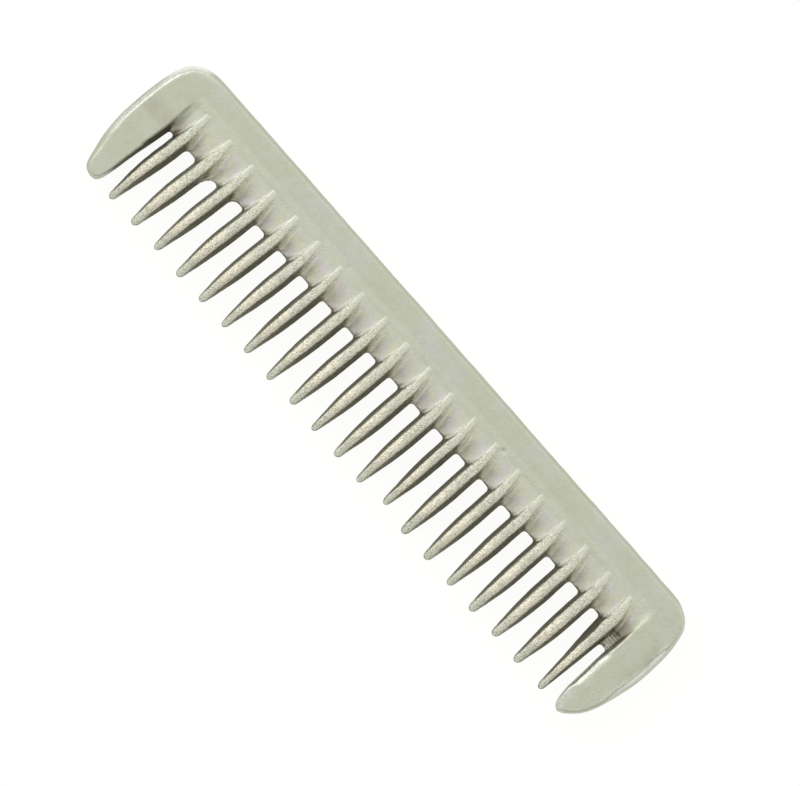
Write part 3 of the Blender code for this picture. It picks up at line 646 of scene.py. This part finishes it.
def plan_grids():
    """Grids that share their borders exactly, and the outer and inner outlines."""
    columns = body_columns()
    body = body_grid(columns)
    teeth = []
    for i in range(TEETH):
        picked = [c for c, column in enumerate(columns) if column[:2] == ("tooth", i)]
        teeth.append(tooth_grid(i, body[-1, picked]))

    back_x = np.linspace(LEFT_GUARD[0][0], RIGHT_GUARD[0][0], BACK_POINTS)[1:-1]
    outer = np.vstack([
        spline(LEFT_GUARD, 0.08)[::-1],
        np.column_stack([back_x, np.full(len(back_x), BACK_Y)]),
        spline(RIGHT_GUARD, 0.08),
    ])
    left_rows = guard_rows(LEFT_IN, body[-1, 0])
    right_rows = guard_rows(RIGHT_IN, body[-1, -1])
    strip = edge_strip(body, outer, left_rows, right_rows)

    # The inner outline runs along teeth and slots from +X to -X.
    inner = [right_rows[0][::-1]]
    for j in range(TEETH, -1, -1):
        inner.append(slot_root(j)[::-1])
        if j:
            inner += [teeth[j - 1][:, -1], teeth[j - 1][::-1, 0]]
    inner.append(left_rows[0])
    return [body, *teeth, strip], outer, np.vstack(inner)


def merge(grids):
    """One list of plan points and faces from the grids, all turned the same way."""
    points, faces, base = [], [], 0
    for grid in grids:
        rows, cols = grid.shape[:2]
        points.append(grid.reshape(-1, 2))
        a = base + (np.arange(rows - 1)[:, None] * cols + np.arange(cols - 1)).ravel()
        faces.append(np.column_stack([a, a + 1, a + 1 + cols, a + cols]))
        base += rows * cols
    points, faces = np.vstack(points), np.vstack(faces)
    _, index, inverse = np.unique(
        np.round(points, 5), axis=0, return_index=True, return_inverse=True
    )
    points = points[index]
    rings = []
    for face in inverse.reshape(-1)[faces]:
        ring = [corner for k, corner in enumerate(face) if corner != face[k - 1]]
        if len(set(ring)) < 3:
            continue
        x, y = points[ring].T
        area = np.sum(x * np.roll(y, -1) - y * np.roll(x, -1))
        rings.append(ring if area > 0 else ring[::-1])
    return points, rings


# ------------------------------------------------------------- material masks
def flank_shade_and_oxide_mask(at, flank, on_guard):
    """Dark colour on the flanks and along the slot roots: painted shade where the steep metal
    would reflect dark surroundings, with some oxidation.
    """
    x, y, signed, from_inner = at.x, at.y, at.signed, at.from_inner
    root_line = (1 - above(from_inner, 0.08, 0.34)) * (y > -1.6)
    root_line = 0.62 * root_line * (1 - 0.45 * (signed < 0))
    on_tooth = np.maximum(flank, root_line) * (0.60 + 0.40 * above(at.tip, 0.4, 2.2))
    guard_fade = np.where(x < 0, above(y, -9.4, 2.5), above(y, -4.2, 4.0))
    guard_flank = np.where(x < 0, flank, flank * (1 - above(from_inner, 0.16, 0.2)))
    shade_and_oxide = np.where(on_guard, guard_flank * guard_fade, on_tooth)
    near_slot = 1 - above(from_inner, 0.9, 0.5)
    # Painted shade: the -X flank of each tooth is darkened more, increasingly towards +X.
    along_comb = np.where((signed < 0) & ~on_guard, 1.10 + 0.0062 * x, 1.0)
    shade_and_oxide = np.clip(shade_and_oxide * near_slot * along_comb, 0, 1.25)
    # Less painted shade on the +X side of each tooth above y = 0.3.
    return shade_and_oxide * (1 - 0.26 * (signed > 0) * above(y, 0.3, 1.6) * ~on_guard)


def tooth_masks(at, flank, on_guard):
    """Crests, tips, scoops, painted highlights on the ridges and the painted shade tint beside
    them.
    """
    x, y, signed, off = at.x, at.y, at.signed, at.off
    off_guard = ~on_guard
    # The crest mask lightens the crests as painted highlight; it also sets the strength of the
    # grain.
    crest = below(off, 0.92, 0.25) * (1 - flank) * below(y, 6.2, 3.0) * off_guard
    # Painted highlight: a warm sheen down the middle of the teeth, weaker on their +X side.
    crest_sheen = crest * below(y, -0.2, 4.0) * above(y, -8.6, 2.6) * (1 - 0.35 * (signed > 0.15))
    # Painted highlights at the head of each ridge and on the +X guard's inner bevel.
    ridge_highlight = below(off, 0.42, 0.2) * above(y, 4.0, 1.6) * below(y, 6.45, 0.25)
    guard_highlight = bell(x, 44.45, 0.38) * bell(y, 5.75, 0.75)
    # The recess is lightened in the material as painted light.
    recess = below(y, LAND_Y - 0.10 + 0.15 * layered(x, y, 4, 950), 0.30)
    # Painted shade: an olive tint on the +X side of each ridge, where its shade falls, widening
    # towards the root.
    reach = 0.75 + 1.45 * np.clip((5.9 - y) / 4.0, 0, 1) + 0.25 * noise(x, y, 1.0, 960)
    ridge_shade_tint = below(y, 5.9, 1.2) * below(signed, reach, 0.7) * (signed > 0)
    # A warm tint in the valleys towards the slot roots, weaker on the -X side of each tooth.
    root_tint = below(y, 3.5, 1.7) * (1 - 0.7 * (signed < 0)) * above(off, 0.9, 0.3)
    return {
        "crest": crest,
        "crest_sheen": crest_sheen,
        "scoop": below(y, 6.1, 1.6) * above(y, 0.8, 1.0) * off_guard * (1 - crest),
        "recess": recess * below(np.abs(x), 44.8, 0.8) * above(y, 4.4, 1.0),
        # Painted light: the tips are lightened.
        "tips": below(at.tip, 3.6, 2.6) * (1 - 0.8 * flank) * off_guard,
        "web": below(y, 1.6, 0.3) * above(y, -0.9, 0.3) * (x > 42.2) * (x < 44.2),
        "ridge_shade_tint": ridge_shade_tint * (y > 0.4) * off_guard,
        "root_tint": root_tint * (y > 0.4) * off_guard,
        "ridge_highlight": np.maximum(ridge_highlight * (np.abs(x) < GUARD_X), 1.6 * guard_highlight),
    }


def guard_masks(at, height, shade_and_oxide):
    """Painted highlights and painted shade along the edges of the guards."""
    x, y, from_outer = at.x, at.y, at.from_outer
    # Painted highlights along the guards' outer edges, the +X guard's inner edge and the rim at
    # its head.
    edge_highlight = below(from_outer, np.where(x > 0, 1.30, 1.05), 0.2) * above(np.abs(x), 45.0, 2.0)
    edge_highlight *= np.where(x > 0, 1.0, 0.8)
    edge_highlight *= np.where(x > 0, below(y, 6.4, 1.8), below(y, 10.6, 1.0)) * above(y, -6.4, 3.0)
    edge_highlight *= 0.30 + 0.70 * above(height, 1.1, 0.6)
    inner_edge = (x > GUARD_X) * below(at.from_inner, 1.0, 0.15) * (y < 6)
    edge_highlight = np.maximum(edge_highlight, inner_edge * (1 - shade_and_oxide))
    rim_end = below(from_outer, 0.60, 0.20) * above(x, 45.0, 1.5) * above(y, 3.4, 1.2)
    at_left = below(x, -45.4, 1.6)
    # Painted highlight on the -X guard's outer bevel, which faces the key light.
    left_bevel_highlight = below(from_outer, 1.02, 0.16) * above(from_outer, 0.06, 0.14) * at_left
    left_bevel_highlight *= below(y, 9.6, 2.6) * above(y, -6.0, 4.0) * above(height, 1.30, 0.40)
    # Painted highlight along the inner border of the +X guard's bevel.
    crease_highlight = bell(from_outer, 0.80, 0.20) * (x > 45)
    shade = bell(from_outer, 1.75, 0.55) * (x > 45)
    return {
        "edge_highlight": np.maximum(edge_highlight, 0.9 * rim_end),
        "crease_highlight": crease_highlight * below(y, 6.2, 2) * above(y, -4.0, 3),
        "glare": below(from_outer, 0.62, 0.30) * at_left * above(y, 4.2, 3.0),
        "shade": shade * below(y, 6.0, 2) * above(y, -2.6, 2.4),
        "left_bevel_highlight": left_bevel_highlight,
        # Painted shade along the inner border of the -X bevel, dimming a glint there.
        "left_bevel_shade": bell(from_outer, 0.78, 0.15) * at_left * above(y, -7.5, 2.5),
    }


def end_slot_brown_mask(x, y):
    """A brown tint around the end slots and, weaker, near the first teeth."""
    end_slot_brown = above(x, 41.2, 0.5) * (x < 44.6) * below(y, 4.7, 2.0) * (y > -1.4)
    end_slot_brown *= 1 - 0.55 * below(y, 0.9, 0.9)
    left_slot = below(x, -42.2, 0.8) * (x > -44.6) * below(y, 4.4, 2.2) * (y > 0.6)
    first_teeth = 0.42 * below(x, -37.6, 1.0) * below(y, 3.8, 1.6) * (y > 0.6)
    return np.maximum(np.maximum(end_slot_brown, left_slot), first_teeth)


def all_masks(plan, height, lean):
    """Masks for the vertices of the upper face, then of the lower one."""
    at = SimpleNamespace(**{name: np.tile(value, 2) for name, value in vars(plan).items()})
    x, y = at.x, at.y
    on_guard = np.abs(x) > GUARD_X
    flank = above(lean, 0.20, 0.42) * (y < 6.2)
    shade_and_oxide = flank_shade_and_oxide_mask(at, flank, on_guard)
    masks = {**tooth_masks(at, flank, on_guard), **guard_masks(at, height, shade_and_oxide)}
    masks["end_slot_brown"] = end_slot_brown_mask(x, y) * (1 - masks["crest"]) * (1 - masks["edge_highlight"])
    # More painted shade and oxidation across the head of the +X end slot, less around one slot
    # root near -X.
    corner = bell(y, 1.72, 0.26) * (x > 42.2) * (x < 43.95)
    flash_zone = bell(x, -36.2, 0.9) * bell(y, 0.6, 1.2)
    masks["shade_and_oxide"] = np.maximum(shade_and_oxide, 0.9 * corner) * (1 - 0.72 * flash_zone)
    return masks


# -------------------------------------------------------------------- comb mesh
def place_plan(plan):
    """Plan points with a slightly wandering outline, fitted to the CAD box."""
    x, y = plan.x, plan.y
    warp = np.column_stack([layered(x, y, 3.0, 800), layered(x, y, 3.0, 820)]) * 0.035
    warp += np.column_stack([noise(x, y, 0.8, 840), noise(x, y, 0.8, 860)]) * 0.012
    warp[:, 1] -= above(y, 8.5, 2.0) * 0.045 * (1 + layered(x, 0 * y, 4.5, 880))
    low, high = np.array(CAD_LOW[:2]) * 1000, np.array(CAD_HIGH[:2]) * 1000
    middle = 0.5 * np.array([0.0, RIGHT_GUARD[-1][1] + BACK_Y])
    return np.clip(np.column_stack([x, y]) + warp - middle + 0.5 * (low + high), low, high)


def build_comb():
    grids, outer, inner = plan_grids()
    points, faces = merge(grids)
    count = len(points)
    plan = Plan(points, outer, inner)

    edges = dict.fromkeys(edge for ring in faces for edge in zip(ring, ring[1:] + ring[:1]))
    border = [(a, b) for a, b in edges if (b, a) not in edges]
    on_border = np.zeros(count, bool)
    on_border[np.array(border).ravel()] = True

    top = half_thickness(plan, UPPER_SEED, UPPER_PITS)
    bottom = half_thickness(plan, LOWER_SEED)
    flash = 0.025 * layered(plan.x, plan.y, 1.1, 900)
    top[on_border] = PARTING + flash[on_border]
    bottom[on_border] = PARTING - flash[on_border]

    placed = place_plan(plan)
    levels = (HALF_THICK + top, HALF_THICK - bottom)
    verts = np.vstack([np.column_stack([placed, level]) for level in levels])
    rings = faces + [[corner + count for corner in reversed(ring)] for ring in faces]
    rings += [[b, a, a + count, b + count] for a, b in border]

    mesh = bpy.data.meshes.new("comb_casting_skin")
    indices = [[int(corner) for corner in ring] for ring in rings]
    mesh.from_pydata((verts * METRES).tolist(), [], indices)
    mesh.update()
    mesh.shade_smooth()

    normals = np.empty(len(mesh.vertices) * 3, np.float32)
    mesh.vertices.foreach_get("normal", normals)
    lean = 1 - np.abs(normals.reshape(-1, 3)[:, 2])
    for name, value in all_masks(plan, np.concatenate([top, bottom]), lean).items():
        layer = mesh.attributes.new(name, "FLOAT", "POINT")
        layer.data.foreach_set("value", value.astype(np.float32))
    obj = bpy.data.objects.new("comb_body", mesh)
    bpy.context.scene.collection.objects.link(obj)
    return obj


# --------------------------------------------------------------------- material
class Nodes:
    """Short names for building a node tree. Values may be numbers, tuples or sockets."""

    def __init__(self, tree):
        self.tree = tree

    def feed(self, socket, value):
        if hasattr(value, "is_output"):
            self.tree.links.new(value, socket)
        else:
            socket.default_value = value

    def new(self, kind, inputs=None, **settings):
        node = self.tree.nodes.new(kind)
        for key, value in settings.items():
            setattr(node, key, value)
        for key, value in (inputs or {}).items():
            self.feed(node.inputs[key], value)
        return node

    def math(self, operation, a, b=0.5, c=0.5):
        return self.new("ShaderNodeMath", {0: a, 1: b, 2: c}, operation=operation).outputs[0]

    def times(self, a, b):
        return self.math("MULTIPLY", a, b)

    def mix(self, factor, base, colour, blend="MIX"):
        node = self.new("ShaderNodeMix", data_type="RGBA", blend_type=blend)
        for index, value in ((0, factor), (6, base), (7, colour)):
            if isinstance(value, tuple):
                value = (*value, 1)
            self.feed(node.inputs[index], value)
        return node.outputs[2]

    def tint(self, base, mask, amount, colour):
        return self.mix(self.times(mask, amount), base, colour)

    def noise(self, vector, scale, detail, rough):
        inputs = {"Vector": vector, "Scale": scale, "Detail": detail, "Roughness": rough}
        return self.new("ShaderNodeTexNoise", inputs).outputs["Fac"]

    def remap(self, value, span, to=(0.0, 1.0)):
        inputs = {0: value, 1: span[0], 2: span[1], 3: to[0], 4: to[1]}
        node = self.new("ShaderNodeMapRange", inputs, interpolation_type="SMOOTHSTEP")
        return node.outputs[0]

    def attribute(self, name):
        node = self.new("ShaderNodeAttribute", attribute_name=name, attribute_type="GEOMETRY")
        return node.outputs["Fac"]

    def vector(self, operation, a, b, output):
        return self.new("ShaderNodeVectorMath", {0: a, 1: b}, operation=operation).outputs[output]

    def part(self, vector, axis):
        return self.new("ShaderNodeSeparateXYZ", {0: vector}).outputs[axis]


def cast_aluminium():
    material = bpy.data.materials.new("cast_aluminium")
    material.use_nodes = True
    tree = material.node_tree
    tree.nodes.clear()
    n = Nodes(tree)
    where = n.new("ShaderNodeTexCoord").outputs["Object"]
    shade_and_oxide, crest = n.attribute("shade_and_oxide"), n.attribute("crest")
    crest_sheen, scoop = n.attribute("crest_sheen"), n.attribute("scoop")
    edge_highlight, recess = n.attribute("edge_highlight"), n.attribute("recess")

    patch = n.noise(where, scale=190, detail=4, rough=0.6)  # mottling of about 5 mm
    cloud = n.noise(where, scale=700, detail=3, rough=0.6)  # 1.5 mm
    speck = n.noise(where, scale=5400, detail=2, rough=0.6)  # the sandy skin, about 0.2 mm
    coarse = n.noise(where, scale=2700, detail=2, rough=0.5)
    grit = n.noise(where, scale=6500, detail=1, rough=0.5)
    y = n.part(where, "Y")
    x = n.part(where, "X")

    def tint(mask, amount, colour):
        nonlocal base
        base = n.tint(base, mask, amount, colour)

    # Green metal with violet patches, fewer on the guards.
    base = (0.525, 0.553, 0.432)
    middle = n.remap(n.math("ABSOLUTE", x), span=(0.0420, 0.0465), to=(1.0, 0.30))
    patches = n.remap(patch, span=(0.45, 0.68), to=(0.0, 0.75))
    tint(patches, amount=middle, colour=(0.572, 0.569, 0.522))
    off_back = n.remap(y, span=(0.0074, 0.0106), to=(1.0, 0.0))
    tint(off_back, amount=0.10, colour=(0.44, 0.46, 0.36))
    # Painted light: the recess below the land is lighter.
    tint(recess, amount=0.85, colour=(0.590, 0.622, 0.500))

    # Scoops: a pale ground mottled with yellow and pink.
    tint(scoop, amount=0.70, colour=(0.622, 0.611, 0.555))
    mottle = n.noise(where, scale=520, detail=3, rough=0.62)
    yellow = n.remap(mottle, span=(0.50, 0.60), to=(0.0, 0.80))
    tint(scoop, amount=yellow, colour=(0.635, 0.640, 0.455))
    pink = n.remap(mottle, span=(0.47, 0.38), to=(0.0, 0.75))
    tint(scoop, amount=pink, colour=(0.665, 0.615, 0.610))

    # A painted shade tint beside the ridges, a warm tint towards the slot roots and a brown tint
    # near the end slots, streaked along the teeth.
    drawn = n.vector("MULTIPLY", where, (1.0, 0.34, 1.0), "Vector")
    streaks = n.noise(drawn, scale=1500, detail=3, rough=0.6)
    streak = n.math("ADD", cloud, n.times(n.math("SUBTRACT", streaks, 0.5), 1.4))
    streak = n.remap(streak, span=(0.34, 0.62), to=(0.15, 1.0))
    tint(n.attribute("ridge_shade_tint"), amount=streak, colour=(0.69, 0.67, 0.485))
    warm = n.remap(streaks, span=(0.50, 0.64), to=(0.0, 0.55))
    tint(n.attribute("root_tint"), amount=warm, colour=(0.70, 0.68, 0.52))
    clouded = n.remap(cloud, span=(0.35, 0.62), to=(0.35, 0.85))
    tint(n.attribute("root_tint"), amount=clouded, colour=(0.70, 0.655, 0.56))
    tint(n.remap(cloud, span=(0.42, 0.68)), amount=0.16, colour=(0.44, 0.46, 0.36))
    browned = n.remap(cloud, span=(0.30, 0.65), to=(0.55, 0.80))
    tint(n.attribute("end_slot_brown"), amount=browned, colour=(0.36, 0.315, 0.255))

    # Painted highlights on tips, crests and edges, and painted shade on the guards' bevels.
    tint(n.attribute("tips"), amount=0.75, colour=(0.64, 0.655, 0.56))
    tint(crest, amount=0.60, colour=(0.69, 0.70, 0.585))
    tint(crest_sheen, amount=0.80, colour=(0.90, 0.82, 0.67))
    tint(n.attribute("ridge_highlight"), amount=0.40, colour=(0.74, 0.76, 0.64))
    broken = n.math("ADD", n.times(coarse, 0.6), n.times(cloud, 0.4))
    edge_highlight_level = n.remap(broken, span=(0.40, 0.58), to=(0.10, 0.75))
    tint(edge_highlight, amount=edge_highlight_level, colour=(0.70, 0.70, 0.655))
    glint = n.remap(coarse, span=(0.30, 0.60), to=(0.80, 1.0))
    tint(n.attribute("glare"), amount=glint, colour=(0.95, 0.96, 0.92))
    left_bevel_highlight_level = n.remap(broken, span=(0.42, 0.56), to=(0.15, 0.85))
    tint(n.attribute("left_bevel_highlight"), amount=left_bevel_highlight_level, colour=(0.70, 0.705, 0.67))
    left_bevel_shade_level = n.remap(broken, span=(0.40, 0.58), to=(0.75, 0.35))
    tint(n.attribute("left_bevel_shade"), amount=left_bevel_shade_level, colour=(0.42, 0.43, 0.375))
    tint(n.attribute("crease_highlight"), amount=0.80, colour=(0.88, 0.90, 0.82))
    shading = n.remap(cloud, span=(0.3, 0.65), to=(0.5, 0.9))
    tint(n.attribute("shade"), amount=shading, colour=(0.42, 0.44, 0.335))

    # Fine dark ribs on the web.
    rib_turns = 2 * math.pi / 0.00043
    ribs = n.math("SINE", n.math("MULTIPLY_ADD", y, rib_turns, n.times(cloud, 5.0)))
    ribs = n.times(ribs, n.attribute("web"))
    rib_dark = n.remap(ribs, span=(-0.6, 0.8), to=(0.0, 0.40))
    tint(rib_dark, amount=n.attribute("web"), colour=(0.26, 0.23, 0.18))

    # Dark grain and bright grit, strongest on the crests; the grain is drawn along the teeth.
    lines = n.noise(drawn, scale=5600, detail=2, rough=0.6)
    skin = n.math("ADD", n.times(speck, 0.45), n.times(lines, 0.55))
    grain = n.math("MULTIPLY_ADD", crest, 0.44, 0.09)
    tint(n.remap(skin, span=(0.47, 0.58)), amount=grain, colour=(0.28, 0.27, 0.19))
    shine = n.math("MULTIPLY_ADD", crest, 0.62, 0.05)
    tint(n.remap(grit, span=(0.56, 0.68)), amount=shine, colour=(0.86, 0.84, 0.74))

    # Painted shade on the flanks and along the slot roots, with some oxidation, given a sandy,
    # broken edge.
    sandy = n.math("ADD", n.math("SUBTRACT", coarse, 0.5), n.math("SUBTRACT", speck, 0.5))
    shade_and_oxide_pattern = n.remap(n.math("MULTIPLY_ADD", sandy, 1.2, shade_and_oxide), span=(0.18, 0.95))
    shade_and_oxide_pattern = n.times(shade_and_oxide_pattern, n.remap(speck, span=(0.35, 0.65), to=(0.98, 0.78)))
    shade_and_oxide_level = n.remap(shade_and_oxide, span=(0.02, 0.12))
    tint(shade_and_oxide_pattern, amount=shade_and_oxide_level, colour=(0.142, 0.127, 0.084))

    roughness = n.math("MULTIPLY_ADD", shade_and_oxide, 0.20, 0.40)
    roughness = n.math("MULTIPLY_ADD", n.math("SUBTRACT", cloud, 0.5), 0.20, roughness)

    # Bump height: specks on the crests, then coarser noise and the ribs of the web.
    speck_gain = n.math("MULTIPLY_ADD", crest, 0.62, 0.08)
    height = n.math("MULTIPLY_ADD", speck, speck_gain, n.times(coarse, 0.16))
    height = n.math("MULTIPLY_ADD", cloud, 0.10, height)
    height = n.math("MULTIPLY_ADD", ribs, -0.25, height)
    bump = n.new("ShaderNodeBump", {"Strength": 1.0, "Distance": 0.00018, "Height": height})

    surface = n.new("ShaderNodeBsdfPrincipled", {
        "Base Color": base,
        "Roughness": roughness,
        "Metallic": 0.92,
        "Specular Tint": (0.72, 0.72, 0.69, 1),
        "Normal": bump.outputs[0],
    })
    n.new("ShaderNodeOutputMaterial", {"Surface": surface.outputs[0]})
    return material


# ------------------------------------------------------------------ floor, light
def floor():
    """A matt sheet just below the comb, lit from behind like an acrylic sweep."""
    size = 12.0
    corners_xyz = [(-size, -size, 0), (size, -size, 0), (size, size, 0), (-size, size, 0)]
    mesh = bpy.data.meshes.new("floor")
    mesh.from_pydata(corners_xyz, [], [(0, 1, 2, 3)])
    material = bpy.data.materials.new("pale_floor")
    material.use_nodes = True
    surface = material.node_tree.nodes["Principled BSDF"]
    for name, value in {
        "Base Color": (0.09, 0.09, 0.089, 1),
        "Roughness": 1.0,
        "Specular IOR Level": 0.0,
        "Emission Color": (1, 1, 0.985, 1),
        "Emission Strength": 0.93,
    }.items():
        surface.inputs[name].default_value = value
    mesh.materials.append(material)
    obj = bpy.data.objects.new("floor", mesh)
    obj.location.z = -0.00003
    bpy.context.scene.collection.objects.link(obj)


def key_light():
    """A soft disk above the -X side, aimed at the origin."""
    light = bpy.data.lights.new("key", "AREA")
    light.shape = "DISK"
    light.size = 0.50
    light.energy = 1.05
    obj = bpy.data.objects.new("key", light)
    place = Vector((-0.80, 0.12, 0.45))
    obj.location = place
    obj.rotation_mode = "QUATERNION"
    obj.rotation_quaternion = (-place).to_track_quat("-Z", "Y")
    bpy.context.scene.collection.objects.link(obj)


def studio_world():
    """Soft room light: brighter towards -X, darker towards +X and -Y."""
    world = bpy.data.worlds.new("studio")
    bpy.context.scene.world = world
    world.use_nodes = True
    tree = world.node_tree
    tree.nodes.clear()
    n = Nodes(tree)
    where = n.new("ShaderNodeTexCoord").outputs["Generated"]
    lit = n.vector("DOT_PRODUCT", where, (-0.90, 0.35, 0), "Value")
    dim = n.vector("DOT_PRODUCT", where, (0.80, -0.60, 0), "Value")
    z = n.part(where, "Z")
    dark = n.times(n.remap(dim, span=(0.15, 0.70)), n.remap(z, span=(0.12, 0.50)))
    level = n.math("ADD", 1.03, n.remap(lit, span=(0.05, 0.85), to=(0.0, 0.22)))
    spot = n.vector("DOT_PRODUCT", where, (-0.626, 0.727, 0.283), "Value")
    level = n.math("ADD", level, n.remap(spot, span=(0.80, 0.98), to=(0.0, 0.35)))
    bright = n.new("ShaderNodeCombineColor", {0: level, 1: level, 2: level}).outputs[0]
    soft = n.tint(bright, dark, amount=0.64, colour=(0.0, 0.0, 0.0))
    soft = n.mix(n.times(dark, 0.35), soft, colour=(1.0, 0.96, 0.80), blend="MULTIPLY")
    seen = n.new("ShaderNodeLightPath").outputs["Is Camera Ray"]
    colour = n.mix(seen, soft, colour=(0.985, 0.985, 0.97))
    back = n.new("ShaderNodeBackground", {"Color": colour, "Strength": 1.0})
    n.new("ShaderNodeOutputWorld", {"Surface": back.outputs[0]})


def camera():
    """Looks straight down, rolled so that the comb lies diagonally."""
    away = 0.900
    frame_width = 0.104032  # across the view at mid thickness
    shift_right, shift_down = 0.001768544, 0.00013004  # from the comb's middle, in the view
    roll = math.radians(48.69)
    right = Vector((math.cos(roll), math.sin(roll), 0))
    up = Vector((-math.sin(roll), math.cos(roll), 0))

    data = bpy.data.cameras.new("camera")
    data.sensor_width = 36
    data.lens = data.sensor_width * (away - HALF_THICK * METRES) / frame_width
    data.clip_start, data.clip_end = 0.01, 60
    obj = bpy.data.objects.new("camera", data)
    low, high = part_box(NODE)
    obj.location = (low + high) / 2 + right * shift_right - up * shift_down
    obj.location.z = away
    obj.rotation_euler = (0, 0, roll)
    bpy.context.scene.collection.objects.link(obj)
    bpy.context.scene.camera = obj


# ------------------------------------------------------------------------- scene
comb = build_comb()
comb.data.materials.append(cast_aluminium())
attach(comb, "root")
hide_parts(NODE)
floor()
key_light()
studio_world()
camera()
view = bpy.context.scene.view_settings
view.view_transform = "Standard"
view.look = "None"
